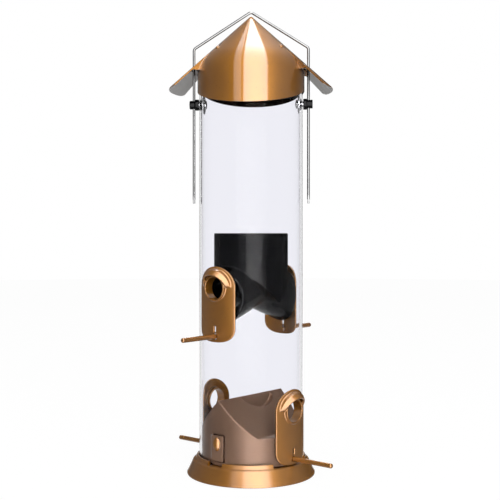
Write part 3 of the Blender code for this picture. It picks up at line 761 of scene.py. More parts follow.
def piece(thing, name, material, body, nodes, angle=35):
    """Names a finished piece, gives it its finish and its body, and lets it stand for its CAD nodes."""
    thing.name = name
    thing.data.name = name
    thing.data.materials.clear()
    thing.data.materials.append(material)
    thing.data.shade_smooth()
    if angle:
        thing.data.set_sharp_from_angle(angle=radians(angle))
    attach(thing, body)
    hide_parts(*nodes)
    print(name, len(thing.data.polygons), "faces")
    return thing


# %% [markdown]
# ## Copies round the axis
#
# Ports, perches, studs, rivets and screws all come in sets round the feeder's axis. One Geometry Nodes tree
# makes every set: it puts copies of a mesh on points, turns each a step further and makes real geometry.

# %% A Geometry Nodes tree for copies round the axis
def make_copier():
    tree = bpy.data.node_groups.new("round_copies", "GeometryNodeTree")
    for label, kind in (
        ("Geometry", "NodeSocketGeometry"),
        ("Count", "NodeSocketInt"),
        ("Start", "NodeSocketFloat"),
        ("Turn", "NodeSocketFloat"),
        ("Material", "NodeSocketMaterial"),
    ):
        tree.interface.new_socket(label, in_out="INPUT", socket_type=kind)
    tree.interface.new_socket("Geometry", in_out="OUTPUT", socket_type="NodeSocketGeometry")
    enter = tree.nodes.new("NodeGroupInput")
    leave = tree.nodes.new("NodeGroupOutput")
    line = tree.nodes.new("GeometryNodeMeshLine")
    line.inputs["Offset"].default_value = (0, 0, 0)
    index = tree.nodes.new("GeometryNodeInputIndex")
    angle = tree.nodes.new("ShaderNodeMath")
    angle.operation = "MULTIPLY_ADD"
    euler = tree.nodes.new("ShaderNodeCombineXYZ")
    turn = tree.nodes.new("FunctionNodeEulerToRotation")
    copies = tree.nodes.new("GeometryNodeInstanceOnPoints")
    real = tree.nodes.new("GeometryNodeRealizeInstances")
    paint = tree.nodes.new("GeometryNodeSetMaterial")
    link(tree, [
        (enter, "Count", line, "Count"),
        (index, "Index", angle, 0),
        (enter, "Turn", angle, 1),
        (enter, "Start", angle, 2),
        (angle, "Value", euler, "Z"),
        (euler, "Vector", turn, "Euler"),
        (line, "Mesh", copies, "Points"),
        (enter, "Geometry", copies, "Instance"),
        (turn, "Rotation", copies, "Rotation"),
        (copies, "Instances", real, "Geometry"),
        (real, "Geometry", paint, "Geometry"),
        (enter, "Material", paint, "Material"),
        (paint, "Geometry", leave, "Geometry"),
    ])
    return tree


COPIER = make_copier()
print("copier", len(COPIER.nodes), "nodes")


def copies(thing, count, start, turn, material):
    """A thing modelled at the front, copied round the axis and made one plain mesh."""
    thing.data.shade_smooth()
    modifier = thing.modifiers.new("Copies", "NODES")
    modifier.node_group = COPIER
    values = {"Count": count, "Start": start, "Turn": turn, "Material": material}
    for item in COPIER.interface.items_tree:
        if item.in_out == "INPUT" and item.name in values:
            modifier[item.identifier] = values[item.name]
    return settle(thing)


# %% [markdown]
# ## Tube
#
# One extruded tube with a hole for each port's sleeve, each perch and each stud's screw, and a slot, open at
# the bottom, over each latch. A bare tube could get its holes from textures, but a cut wall shows its edges.

# %% Tube
SLEEVE_R = 9.2 * MM
HOLE_UP = 38.2 * MM
PERCH_R = 1.7 * MM
PERCH_UP = 4.1 * MM
SCREW_R = 1.9 * MM
LATCH_HALF = radians(8.0)
LATCH_CLEAR = 0.45 * MM
latch_low, latch_high = box_of("latch_front")
LOWER_PLATE_Z = box_of("port_lower_right")[0].z
UPPER_PLATE_Z = box_of("port_upper_front")[0].z
LEVELS = (
    ("upper", UPPER_PLATE_Z, FRONT_AZ, ("front", "back")),
    ("lower", LOWER_PLATE_Z, SIDE_AZ, ("right", "left")),
)

profile = [(TUBE_R, TUBE_TOP), (TUBE_R, TUBE_BOTTOM), (TUBE_INNER_R, TUBE_BOTTOM), (TUBE_INNER_R, TUBE_TOP)]
tube = turned("tube", soften(profile, 0.35 * MM, 3), 192)
holes = []


def wall_hole(azimuth, z, radius, reach, steps):
    """A round cutter through the tube's wall, a gap wider than what it lets through."""
    return rod("hole", azimuth, TUBE_R - reach, TUBE_R + reach, z, radius + GAP, steps)


for _, plate_z, azimuth, _ in LEVELS:
    for turn in (0.0, ACROSS):
        holes.append(wall_hole(azimuth + turn, plate_z + HOLE_UP, SLEEVE_R, 8 * MM, 64))
        holes.append(wall_hole(azimuth + turn, plate_z + PERCH_UP, PERCH_R, 6 * MM, 32))
slot_half = LATCH_HALF + LATCH_CLEAR / TUBE_R
slot_walls = (TUBE_INNER_R - 2 * MM, TUBE_R + 2 * MM)
for turn in (0.0, ACROSS):
    holes.append(wall_hole(RIGHT_ANGLE + turn, STUD_Z, SCREW_R, 6 * MM, 32))
    heights = (TUBE_BOTTOM - 2 * MM, latch_high.z + LATCH_CLEAR)
    holes.append(arc_plate("slot", FRONT_AZ + turn, slot_half, *slot_walls, *heights))
cut(tube, *holes)
piece(tube, "tube_wall", tube_plastic, "tube_body", ["clear_tube"])

# The wall's normals point straight out from the axis, so that the holes' edges don't bend what shows through.
STRAIGHT_OUT = 0.995
normals = []
for face in tube.data.polygons:
    outward = Vector((face.center.x, face.center.y, 0)).normalized()
    along = face.normal.dot(outward)
    for index in face.vertices:
        point = tube.data.vertices[index].co
        flat = Vector((point.x, point.y, 0)).normalized()
        normals.append(flat * (1 if along > 0 else -1) if abs(along) > STRAIGHT_OUT else Vector())
tube.data.normals_split_custom_set(normals)

# %% [markdown]
# ## Base
#
# The flange is a spun and lipped dish: foot, sloping flank, a step, and a lip that holds the tube. It could
# be stacked from rings, but one outline turned about the axis has no seams. Each corner is rounded, and the
# places of ports, latches and screws are cut out.

# %% Base flange
LEDGE_Z = 10.7 * MM
LIP_TOP = 14.0 * MM
LIP_WALL = 1.3 * MM
FLANGE_WALL = 1.9 * MM
STEP_R = TUBE_R + 4.4 * MM
STEP_Z = 10.5 * MM
FOOT = 1.6 * MM
SCREW_RING = 33.6 * MM
SCREW_START = radians(-81)

lip_in = TUBE_R + GAP
lip_out = lip_in + LIP_WALL
drop = FLANGE_WALL * 1.15
profile = [
    (0, LEDGE_Z),
    (lip_in, LEDGE_Z),
    (lip_in, LIP_TOP),
    (lip_out, LIP_TOP),
    (lip_out + 0.9 * MM, STEP_Z + 1.1 * MM),
    (STEP_R, STEP_Z),
    (FLANGE_R - 0.7 * MM, FOOT + 0.5 * MM),
    (FLANGE_R, FOOT * 0.8),
    (FLANGE_R, 0),
    (FLANGE_R - FLANGE_WALL, 0),
    (FLANGE_R - FLANGE_WALL, FOOT),
    (STEP_R - FLANGE_WALL, STEP_Z - drop),
    (0, STEP_Z - drop),
]
flange = lathe("flange", profile, 0.7 * MM, 4, 256)
cutters = []
for azimuth, half in ((SIDE_AZ, radians(27)), (FRONT_AZ, LATCH_HALF + radians(1.5))):
    for turn in (0.0, ACROSS):
        walls = (TUBE_R - 1 * MM, STEP_R - 1.2 * MM)
        heights = (LEDGE_Z + GAP / 2, LIP_TOP + 3 * MM)
        cutters.append(arc_plate("notch", azimuth + turn, half, *walls, *heights, steps=40))
for i in range(3):
    hole = cylinder("hole", SCREW_R + GAP, 0, LIP_TOP, 32)
    hole.location = spot(SCREW_START + i * RIGHT_ANGLE, SCREW_RING, 0)
    cutters.append(hole)
cut(flange, *cutters)
piece(flange, "spun_flange", gold_satin, "base", ["base_flange"], 28)

# %% [markdown]
# The seed ramp is a gable inside the tube, whose slopes send the seed to the two lower ports, with a scoop on
# each side of the ridge. It is a cylinder kept inside a prism, hollowed from below, then remeshed so that
# every edge is rounded as a casting's is.

# %% Seed ramp
INSERT_R = 36.0 * MM
INSERT_WALL = 2.4 * MM
RIDGE_Z = 57.3 * MM
RAMP_FLOOR_Z = 31.7 * MM
RAMP_SLOPE = radians(44)
SCOOP_SIZE = Vector((17.0, 12.0, 12.0)) * MM
SCOOP_SHIFT = 5.0 * MM
SCOOP_RIDGE_WALL = 0.7 * MM


def gable(drop):
    """The prism under both ramps, lowered by drop."""
    reach = INSERT_R + 2 * MM
    foot = (RIDGE_Z - RAMP_FLOOR_Z) / tan(RAMP_SLOPE)
    low = LEDGE_Z - 3 * MM
    flat = RAMP_FLOOR_Z - drop
    outline = [(-reach, low), (reach, low), (reach, flat), (foot, flat), (0, RIDGE_Z - drop), (-foot, flat)]
    outline.append((-reach, flat))
    return prism("gable", outline, 3 * reach, SIDE_AZ)


def scoop(turn, grow):
    """Half of a flattened ball beside the ridge. grow adds a wall round it."""
    def build(bm):
        bmesh.ops.create_uvsphere(bm, u_segments=64, v_segments=32, radius=1)
        bmesh.ops.scale(bm, vec=SCOOP_SIZE + Vector((grow, grow, grow)), verts=bm.verts)
        bmesh.ops.translate(bm, vec=(SCOOP_SHIFT, 0, RIDGE_Z), verts=bm.verts)
        bmesh.ops.bisect_plane(
            bm,
            geom=bm.verts[:] + bm.edges[:] + bm.faces[:],
            plane_co=(0, grow - SCOOP_RIDGE_WALL, 0),
            plane_no=(0, 1, 0),
            clear_outer=True,
        )
        bmesh.ops.edgeloop_fill(bm, edges=[edge for edge in bm.edges if edge.is_boundary])
        bmesh.ops.transform(bm, matrix=Matrix.Rotation(SIDE_AZ + turn, 4, "Z"), verts=bm.verts)

    return mesh_from("scoop", build)


insert_bottom = LEDGE_Z + GAP
ramp = keep(cylinder("ramp", INSERT_R, insert_bottom, RIDGE_Z + 2 * MM, 160), gable(0))
hollow = cylinder("hollow", INSERT_R - INSERT_WALL, insert_bottom - 2 * MM, RIDGE_Z, 160)
keep(hollow, gable(INSERT_WALL / cos(RAMP_SLOPE)))
cut(hollow, scoop(0.0, INSERT_WALL), scoop(ACROSS, INSERT_WALL))
cut(ramp, hollow, scoop(0.0, 0.0), scoop(ACROSS, 0.0))
for turn in (0.0, ACROSS):
    half = LATCH_HALF + LATCH_CLEAR / INSERT_R
    walls = (INSERT_R - INSERT_WALL - 1.5 * MM, INSERT_R + 2 * MM)
    heights = (latch_low.z - 2 * LATCH_CLEAR, latch_high.z + LATCH_CLEAR)
    cut(ramp, arc_plate("window", FRONT_AZ + turn, half, *walls, *heights))
cast(ramp, 0.62 * MM, 3)
piece(ramp, "seed_ramp", copper_paint, "base", ["base_insert"], 0)


# %% [markdown]
# The latch tabs fill the windows in the ramp and the tube and carry one dome each. They could be two pieces,
# but dome and tab move as one. The dome is gold and the tab is brown, so each face takes its paint by how far
# out it lies.

# %% Latch tabs
BUTTON_UP = 12.0 * MM
BUTTON_R = 3.3 * MM
for side, turn in (("front", 0.0), ("back", ACROSS)):
    azimuth = FRONT_AZ + turn
    outer = TUBE_R - 0.1 * MM
    tab = arc_plate("tab", azimuth, LATCH_HALF, INSERT_R - INSERT_WALL, outer, latch_low.z, latch_high.z)
    place = Matrix.Translation(spot(azimuth, outer - 0.3 * MM, latch_low.z + BUTTON_UP)) @ facing(azimuth)
    weld(tab, ball("dome", (BUTTON_R, BUTTON_R * 1.45, BUTTON_R * 0.75), place))
    cast(tab, 0.25 * MM, 4)
    piece(tab, f"latch_tab_{side}", gold_satin, f"latch_{side}_tab", [f"latch_{side}"], 0)
    tab.data.materials.append(copper_paint)
    for face in tab.data.polygons:
        face.material_index = 0 if face.center.xy.length > outer + 0.15 * MM else 1

# %% [markdown]
# Three screws hold flange and ramp together from below, at the corners of a right angle and not of an even
# triangle. One is modelled at the front and copied.

# %% Base screws
SCREW_HEAD_R = 3.3 * MM
SCREW_HEAD_TALL = 1.8 * MM
screw = cylinder("screw", SCREW_R, 6.5 * MM, LEDGE_Z + 6.5 * MM, 32)
screw_under = STEP_Z - drop - GAP
head_profile = [
    (0, screw_under),
    (SCREW_HEAD_R, screw_under),
    (SCREW_HEAD_R, screw_under - 0.9 * MM),
    (2.4 * MM, screw_under - 1.6 * MM),
    (0, screw_under - SCREW_HEAD_TALL),
]
weld(screw, lathe("head", head_profile, 0.3 * MM, 3, 48))
cut_drive(screw, 2.8 * MM, 1.2 * MM, screw_under - SCREW_HEAD_TALL)
screw.data.transform(Matrix.Translation(spot(0, SCREW_RING, 0)))
copies(screw, 3, SCREW_START, RIGHT_ANGLE, zinc_plate)
base_screw_nodes = [f"base_screw_{i}" for i in (1, 2, 3)]
piece(screw, "base_screws", zinc_plate, "base", base_screw_nodes)

# %% [markdown]
# ## Ports and perches
#
# A port is one casting: a round-ended plate wrapped on the tube, a sleeve through the wall, a raised
# ring round the hole and a hood like an eyelid over it. It is modelled once, at the front, and copied.

# %% Port casting
PLATE_WIDE = 33.2 * MM
PLATE_TALL = 53.6 * MM
PLATE_THICK = 1.6 * MM
PLATE_TOP_ROUND = 15.0 * MM
PLATE_BOTTOM_ROUND = 11.0 * MM
PLATE_SQUARENESS = 2.6
PLATE_IN = TUBE_R + GAP
PLATE_OUT = PLATE_IN + PLATE_THICK
HOLE_R = 8.0 * MM
SLEEVE_IN = 3.0 * MM
RING_OUT = 1.2 * MM
HOOD_OUT = 6.4 * MM
HOOD_R = 14.6 * MM
HOOD_LIP_R = 9.8 * MM
HOOD_WALL = 1.3 * MM
HOOD_HALF = radians(84)
HOOD_FALL = 0.93
HOOD_BULGE = (0.35, 0.55)
SLOT_UP = 5.4 * MM
SLOT_WIDE = 1.6 * MM
SLOT_TALL = 4.6 * MM


def plate_section(u, bottom_z):
    """A vertical cut through the plate, u to one side of its middle."""
    share = min(abs(u) / (PLATE_WIDE / 2), 1.0)
    top_fall = PLATE_TOP_ROUND * (1 - sqrt(1 - share ** 2))
    bottom_rise = PLATE_BOTTOM_ROUND * (1 - (1 - share ** PLATE_SQUARENESS) ** (1 / PLATE_SQUARENESS))
    low = bottom_z + bottom_rise
    high = bottom_z + PLATE_TALL - top_fall
    a = u / PLATE_OUT
    corners = ((PLATE_IN, low), (PLATE_OUT, low), (PLATE_OUT, high), (PLATE_IN, high))
    return [spot(a, radius, z) for radius, z in corners]


def hood_section(middle_z, angle):
    """A cut through the hood at an angle from straight up, seen from outside."""
    out = HOOD_OUT * cos(angle * HOOD_FALL)
    inward, outward = HOOD_BULGE
    corners = [
        (HOOD_R, -HOOD_WALL),
        (HOOD_R - inward * (HOOD_R - HOOD_LIP_R), out * outward),
        (HOOD_LIP_R, out),
        (HOOD_LIP_R - 0.8 * MM, out - HOOD_WALL),
        (HOOD_R - 2.2 * MM, -HOOD_WALL),
    ]
    return [spot(r * sin(angle) / PLATE_OUT, PLATE_OUT + d, middle_z + r * cos(angle)) for r, d in corners]


def port_casting(bottom_z):
    middle_z = bottom_z + HOLE_UP
    half = PLATE_WIDE / 2 - 0.02 * MM
    steps = 48
    sides = [sin(RIGHT_ANGLE * (2 * i / steps - 1)) * half for i in range(steps + 1)]
    plate = columns("plate", [plate_section(u, bottom_z) for u in sides])
    angles = [HOOD_HALF * (2 * i / steps - 1) for i in range(steps + 1)]
    hood = columns("hood", [hood_section(middle_z, a) for a in angles])
    sleeve_start = TUBE_INNER_R - SLEEVE_IN
    weld(plate, hood, rod("sleeve", 0, sleeve_start, PLATE_OUT + RING_OUT, middle_z, SLEEVE_R, 64))
    perch_z = bottom_z + PERCH_UP
    walls = (TUBE_R - 2 * MM, PLATE_OUT + 2 * MM)
    heights = (perch_z + SLOT_UP - SLOT_TALL / 2, perch_z + SLOT_UP + SLOT_TALL / 2)
    slot = arc_plate("slot", 0, SLOT_WIDE / 2 / PLATE_OUT, *walls, *heights, steps=1)
    cut(
        plate,
        rod("bore", 0, TUBE_R - 12 * MM, TUBE_R + 14 * MM, middle_z, HOLE_R, 64),
        rod("perch_hole", 0, TUBE_R - 2 * MM, TUBE_R + 8 * MM, perch_z, PERCH_R + GAP, 32),
        slot,
    )
    return cast(plate, 0.36 * MM, 5)


for level, plate_z, azimuth, sides in LEVELS:
    casting = copies(port_casting(plate_z), 2, azimuth, ACROSS, gold_satin)
    nodes = [f"port_{level}_{side}" for side in sides]
    piece(casting, f"{level}_ports", gold_satin, "tube_body", nodes, 0)

# %% [markdown]
# A perch is a plain turned rod with a rounded nose, so an outline about an axis is all it needs.

# %% Perches
PERCH_START = TUBE_INNER_R + 0.2 * MM
PERCH_REACH = 73.0 * MM


def perch_rod(z):
    """A turned rod with a small rounded nose, along the front azimuth."""
    profile = [(0, PERCH_REACH)]
    nose = 1.1 * MM
    steps = 8
    for i in range(steps + 1):
        a = RIGHT_ANGLE * i / steps
        profile.append((PERCH_R - nose * (1 - sin(a)), PERCH_REACH - nose * (1 - cos(a))))
    profile += [(PERCH_R, PERCH_START + 0.2 * MM), (PERCH_R - 0.2 * MM, PERCH_START), (0, PERCH_START)]
    return point_out(turned("perch", profile, 48, closed=False), z)


for level, plate_z, azimuth, sides in LEVELS:
    rods = copies(perch_rod(plate_z + PERCH_UP), 2, azimuth, ACROSS, gold_satin)
    nodes = [f"perch_{level}_{side}" for side in sides]
    piece(rods, f"{level}_perches", gold_satin, "tube_body", nodes)

# %% [markdown]
# ## Diverter
#
# A black moulded funnel that sits behind the two upper ports. A round cup meets two branch pipes that slope
# down to the ports, and a roof-shaped floor under the cup sends the seed into them.

# %% Diverter
CUP_R = 27.2 * MM
CUP_WALL = 2.0 * MM
CUP_TOP = box_of("upper_diverter")[1].z
BRANCH_R = 19.0 * MM
BRANCH_MID_Z = 141.7 * MM
BRANCH_END_Z = 129.0 * MM
KEEL_Z = 125.5 * MM
KEEL_SLOPE = radians(41)
BEYOND = 60 * MM


def branch(turn, radius, start):
    """A pipe from the middle of the feeder down to an upper port."""
    tilt = atan2(BRANCH_MID_Z - BRANCH_END_Z, TUBE_INNER_R)
    pipe = cylinder("pipe", radius, start, BEYOND, 96)
    pipe.data.transform(Matrix.Translation((0, 0, BRANCH_MID_Z)) @ facing(FRONT_AZ + turn, tilt))
    return pipe


def keel(rise):
    """The space above the roof-shaped floor, lifted by rise."""
    side_z = KEEL_Z + BEYOND * tan(KEEL_SLOPE) + rise
    top = CUP_TOP + BEYOND + rise
    outline = [(0, KEEL_Z + rise), (BEYOND, side_z), (BEYOND, top), (-BEYOND, top), (-BEYOND, side_z)]
    return prism("keel", outline, 3 * BEYOND, FRONT_AZ)


funnel = keep(cylinder("funnel", CUP_R, KEEL_Z - MM, CUP_TOP, 128), keel(0))
weld(funnel, branch(0.0, BRANCH_R, -MM), branch(ACROSS, BRANCH_R, -MM))
keep(funnel, cylinder("bore", TUBE_INNER_R - 0.4 * MM, 0, TUBE_TOP, 128))
well = cylinder("well", CUP_R - CUP_WALL, KEEL_Z, CUP_TOP + MM, 128)
keep(well, keel(CUP_WALL / cos(KEEL_SLOPE)))
cut(funnel, well, branch(0.0, BRANCH_R - CUP_WALL, MM), branch(ACROSS, BRANCH_R - CUP_WALL, MM))
cast(funnel, 0.62 * MM, 2)
piece(funnel, "seed_diverter", gloss_black, "tube_body", ["upper_diverter"], 0)

# %% [markdown]
# ## Roof
#
# One spun sheet shape: a cone, a soft bend, and a skirt that slides over the tube. Left and right the cone
# runs on past the skirt as a wing with a hole for the handle's leg and a small gusset at each flank. The
# skirt's lower edge is an arch, lowest in front, a little higher behind and highest at the wings. A spin
# gives the sheet its even wall, a leaning prism trims the arch, and the wings are swept on. The wings'
# undersides are bare metal, and the sheet's inside is painted dark brown as painted shade under the roof.

# %% Roof shell
ROOF_SLOPE = radians(42.2)
SHEET = 0.9 * MM
SKIRT_R = TUBE_R + 1.4 * MM
SKIRT_LEAN = radians(4.4)
SKIRT_LOW_Z = roof_low.z + SKIRT_R * tan(SKIRT_LEAN)
SKIRT_RISE = 10.3 * MM
WING_HALF = radians(25.5)
WIRE_X = 42.3 * MM
WIRE_R = 1.0 * MM
WIRE_CLEAR = 0.35 * MM
BEND = 9.0 * MM
GUSSET_OUT = 5.6 * MM
GUSSET_HALF = radians(0.7)
GUSSET_INSET = radians(1.6)
WING_CORNER = 1.6 * MM
WING_SQUARENESS = 12
WING_LIFT = 0.02 * MM
ARCH_STEPS = 60
FACES_DOWN = -0.3
THICK = SHEET / cos(ROOF_SLOPE)


def roof_z(radius):
    """The height of the cone's outside."""
    return APEX_Z - radius * tan(ROOF_SLOPE)


def bent(radius, lift, steps=20):
    """Cone, bend and skirt, as (radius, z) from the bend's start to its end. lift moves the cone."""
    start = Vector((radius - BEND, roof_z(radius - BEND) + lift))
    corner = Vector((radius, roof_z(radius) + lift))
    end = Vector((radius, corner.y - BEND * 0.9))
    points = []
    for i in range(steps + 1):
        t = i / steps
        points.append(tuple(start.lerp(corner, t).lerp(corner.lerp(end, t), t)))
    return points


skirt_low = SKIRT_LOW_Z - 4 * MM
inner_r = SKIRT_R - SHEET
tip_r = 0.9 * MM  # the apex is a little blunt
outside = [(0, APEX_Z - 0.35 * MM), (tip_r * 0.45, APEX_Z - 0.5 * MM), (tip_r, roof_z(tip_r))]
outside += [(r * MM, roof_z(r * MM)) for r in (1.6, 3, 6, 10, 15, 20, 25, 28)]
outside += bent(SKIRT_R, 0)
inside = bent(inner_r, -THICK)[::-1]
inside += [(r * MM, roof_z(r * MM) - THICK) for r in (25, 15, 7, 3)]
profile = outside + [(SKIRT_R, skirt_low), (inner_r, skirt_low)] + inside + [(0, APEX_Z - THICK - 0.4 * MM)]
roof = turned("roof", profile, 256, closed=False)
reach = SKIRT_R + 4 * MM
arch = [(-reach, skirt_low - 5 * MM), (reach, skirt_low - 5 * MM)]
for i in range(ARCH_STEPS + 1):
    x = reach * (1 - 2 * i / ARCH_STEPS)
    rise = SKIRT_RISE * (1 - sqrt(max(1 - (x / SKIRT_R) ** 2, 0)))
    arch.append((x, SKIRT_LOW_Z + rise))
trim = prism("trim", arch, 3 * reach, RIGHT_ANGLE)
middle = Matrix.Translation((0, 0, SKIRT_LOW_Z))
trim.data.transform(middle @ Matrix.Rotation(SKIRT_LEAN, 4, "X") @ middle.inverted())
cut(roof, trim)


def wing(azimuth):
    """The cone run on past the skirt, with rounded tips and a hole for the handle's leg."""
    start = SKIRT_R - BEND - 2 * MM
    sections = []
    steps = 64
    for i in range(steps + 1):
        t = 2 * i / steps - 1
        a = azimuth + WING_HALF * t
        end = WING_R - WING_CORNER * t ** WING_SQUARENESS
        row = [spot(a, r, roof_z(r) + WING_LIFT) for r in (start, (start + end) / 2, end - 0.3 * MM)]
        row += [spot(a, end, roof_z(end) - THICK * k) for k in (0.3, 0.7)]
        row += [spot(a, r, roof_z(r) - THICK) for r in (end - 0.3 * MM, (start + end) / 2, start)]
        sections.append(row)
    plate = columns("wing", sections)
    hole = cylinder("hole", WIRE_R + WIRE_CLEAR, STUD_Z, APEX_Z, 32)
    hole.location = spot(azimuth, WIRE_X, 0)
    return cut(plate, settle(hole))


def gusset(azimuth):
    """A small upright web between the skirt and a wing's flank."""
    tip = SKIRT_R + GUSSET_OUT
    low = roof_z(tip) - THICK
    root = SKIRT_R - 4.2 * MM
    sections = []
    for b in (azimuth - GUSSET_HALF, azimuth + GUSSET_HALF):
        sections.append([
            spot(b, root, roof_z(root) - THICK * 0.8),
            spot(b, SKIRT_R - 0.7 * MM, low),
            spot(b, tip, low),
            spot(b, tip, roof_z(tip) - THICK / 2),
        ])
    return columns("gusset", sections)


def merge(name, things):
    """Several things as one mesh, each shell as it is."""
    bm = bmesh.new()
    for thing in things:
        bm.from_mesh(thing.data)
        bpy.data.objects.remove(thing)
    mesh = bpy.data.meshes.new(name)
    bm.to_mesh(mesh)
    bm.free()
    return put(name, mesh)


shells = [roof]
for azimuth in (-RIGHT_ANGLE, RIGHT_ANGLE):
    shells.append(wing(azimuth))
    for flank in (-1, 1):
        shells.append(gusset(azimuth + flank * (WING_HALF - GUSSET_INSET)))
roof = merge("roof", shells)
piece(roof, "spun_roof", gold_paint, "roof", ["roof_shell"], 28)
roof.data.materials.append(bare_metal)
roof.data.materials.append(painted_shade_inside)
# Faces under the wings take bare metal. Faces inside the skirt and under the cone take the dark brown painted
# shade.
for face in roof.data.polygons:
    middle = face.center
    outward = Vector((middle.x, middle.y, 0)).normalized()
    if middle.xy.length > SKIRT_R + 0.3 * MM:
        face.material_index = 1 if face.normal.z < FACES_DOWN else 0
    elif face.normal.dot(outward) < -0.2 or face.normal.z < FACES_DOWN:
        face.material_index = 2

# %% [markdown]
# Two rivets sit square to the cone. Each has a domed head outside and a flat tail inside the sheet.

# %% Roof rivets
RIVET_AZ = radians(52)
RIVET_AT = 29.0 * MM
RIVET_R = 1.5 * MM
rivet_profile = [(0, 1.15 * MM)]
for i in range(1, 9):
    a = RIGHT_ANGLE * i / 8
    rivet_profile.append((RIVET_R * sin(a), 0.1 * MM + 1.05 * MM * cos(a)))
shank = RIVET_R * 0.6
rivet_profile += [
    (shank, 0.1 * MM),
    (shank, -SHEET - 0.3 * MM),
    (RIVET_R * 0.95, -SHEET - 0.3 * MM),
    (RIVET_R * 0.95, -SHEET - 1.0 * MM),
    (0, -SHEET - 1.1 * MM),
]
rivet = turned("rivet", rivet_profile, 40, closed=False)
rivet.data.transform(
    Matrix.Translation(spot(0, RIVET_AT, roof_z(RIVET_AT))) @ facing(0, -(RIGHT_ANGLE - ROOF_SLOPE))
)
copies(rivet, 2, -RIVET_AZ, 2 * RIVET_AZ, gold_paint)
piece(rivet, "roof_rivets", gold_paint, "roof", ["roof_rivet_left", "roof_rivet_right"], 50)

# %% [markdown]
# ## Handle and studs
#
# One length of drawn wire, bent to a gable above the roof. Each leg runs down through a wing and through a
# black stud on the tube, and ends in a flattened stop, so the roof and the handle slide up but stay on.

# %% Wire handle
WIRE_TIP_Z = wire_low.z
WIRE_TOP_Z = wire_high.z
SHOULDER_Z = 312.2 * MM
STOP_TALL = 6.0 * MM
STOP_WIDE = 3.4 * MM
WIRE_BEND_R = 3.0 * MM


def bend_points(corners, radius, steps=14):
    """The corners of a wire with each inner corner rounded."""
    points = [corners[0]]
    for before, corner, after in zip(corners, corners[1:], corners[2:]):
        inward = (before - corner).normalized()
        onward = (after - corner).normalized()
        back = radius / tan(inward.angle(onward) / 2)
        start = corner + inward * back
        end = corner + onward * back
        for i in range(steps + 1):
            t = i / steps
            points.append(start.lerp(corner, t).lerp(corner.lerp(end, t), t))
    points.append(corners[-1])
    return points


def wire(name, points, radius):
    """A round wire along points, as a mesh with closed ends."""
    curve = bpy.data.curves.new(name, "CURVE")
    curve.dimensions = "3D"
    curve.bevel_depth = radius
    curve.bevel_resolution = 6
    curve.use_fill_caps = True
    spline = curve.splines.new("POLY")
    spline.points.add(len(points) - 1)
    for target, point in zip(spline.points, points):
        target.co = (*point, 1)
    guide = put(name, curve)
    mesh = evaluated_mesh(guide)
    bpy.data.objects.remove(guide)
    return put(name, mesh)


top = WIRE_TOP_Z - WIRE_R
stop_z = WIRE_TIP_Z + STOP_TALL / 2
corners = [
    Vector((-WIRE_X, 0, stop_z)),
    Vector((-WIRE_X, 0, SHOULDER_Z)),
    Vector((0, 0, top)),
    Vector((WIRE_X, 0, SHOULDER_Z)),
    Vector((WIRE_X, 0, stop_z)),
]
strands = [wire("wire", bend_points(corners, WIRE_BEND_R), WIRE_R)]
for sign in (-1, 1):
    place = Matrix.Translation((sign * WIRE_X, 0, stop_z))
    stop = soften([(-0.7, -1), (0.7, -1), (0.7, 1), (-0.7, 1)], 0.3, 3)
    sections = []
    for i in range(13):
        t = i / 12
        swell = sin(ACROSS * t) ** 0.35 if 0 < t < 1 else 0.3
        wide = WIRE_R + (STOP_WIDE / 2 - WIRE_R) * swell
        z = STOP_TALL * (t - 0.5)
        sections.append([place @ Vector((x * WIRE_R, y * wide, z)) for x, y in stop])
    strands.append(columns("stop", sections))
handle = merge("handle", strands)
piece(handle, "wire_bail", drawn_wire, "handle", ["wire_handle"], 40)

# %% [markdown]
# A black stud sits on the tube at each side, with a hole that the handle's leg slides in. A screw from inside
# the tube holds it, over a washer. All three are turned outlines, made at the front and copied to both sides.

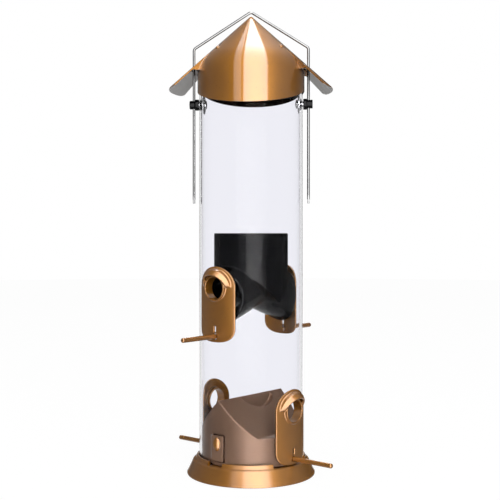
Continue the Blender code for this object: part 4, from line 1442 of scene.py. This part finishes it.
# %% Studs, washers and screws
WAIST = TUBE_R + 3.2 * MM
STUD_IN = TUBE_R + 0.5 * MM
STUD_OUT = stud_high.x
STUD_R = 3.2 * MM
COLLAR_R = 4.1 * MM
profile = [
    (0, STUD_OUT),
    (STUD_R, STUD_OUT),
    (STUD_R, WAIST),
    (COLLAR_R, WAIST),
    (COLLAR_R, STUD_IN),
    (0, STUD_IN),
]
stud = point_out(lathe("stud", profile, 0.45 * MM, 4, 64), STUD_Z)
bore_end = WIRE_X - WIRE_R - WIRE_CLEAR - 0.8 * MM
leg_hole = cylinder("leg_hole", WIRE_R + WIRE_CLEAR, STUD_Z - 10 * MM, STUD_Z + 10 * MM, 32)
leg_hole.location = spot(0, WIRE_X, 0)
cut(stud, rod("bore", 0, TUBE_R - MM, bore_end, STUD_Z, SCREW_R + GAP, 32), settle(leg_hole))
copies(stud, 2, -RIGHT_ANGLE, ACROSS, gloss_black)
piece(stud, "handle_studs", gloss_black, "tube_body", ["stud_left", "stud_right"])

WASHER_R = 6.9 * MM
washer_out = sqrt(TUBE_INNER_R ** 2 - WASHER_R ** 2) - GAP
washer_in = washer_out - 0.8 * MM
profile = [
    (WASHER_R, washer_out),
    (WASHER_R, washer_in),
    (SCREW_R + GAP, washer_in),
    (SCREW_R + GAP, washer_out),
]
washer = point_out(turned("washer", soften(profile, 0.15 * MM, 3), 64), STUD_Z)
copies(washer, 2, -RIGHT_ANGLE, ACROSS, zinc_plate)
piece(washer, "stud_washers", zinc_plate, "tube_body", ["washer_left", "washer_right"])

head_out = washer_in - GAP
profile = [
    (0, bore_end - GAP),
    (SCREW_R, bore_end - GAP),
    (SCREW_R, head_out),
    (SCREW_HEAD_R, head_out),
    (3.1 * MM, head_out - 1.2 * MM),
    (0, head_out - SCREW_HEAD_TALL),
]
stud_screw = lathe("stud_screw", profile, 0.4 * MM, 4, 48)
cut_drive(stud_screw, 2.6 * MM, 1.0 * MM, head_out - SCREW_HEAD_TALL)
point_out(stud_screw, STUD_Z)
copies(stud_screw, 2, -RIGHT_ANGLE, ACROSS, zinc_plate)
stud_screw_nodes = ["stud_screw_left", "stud_screw_right"]
piece(stud_screw, "stud_screws", zinc_plate, "tube_body", stud_screw_nodes)
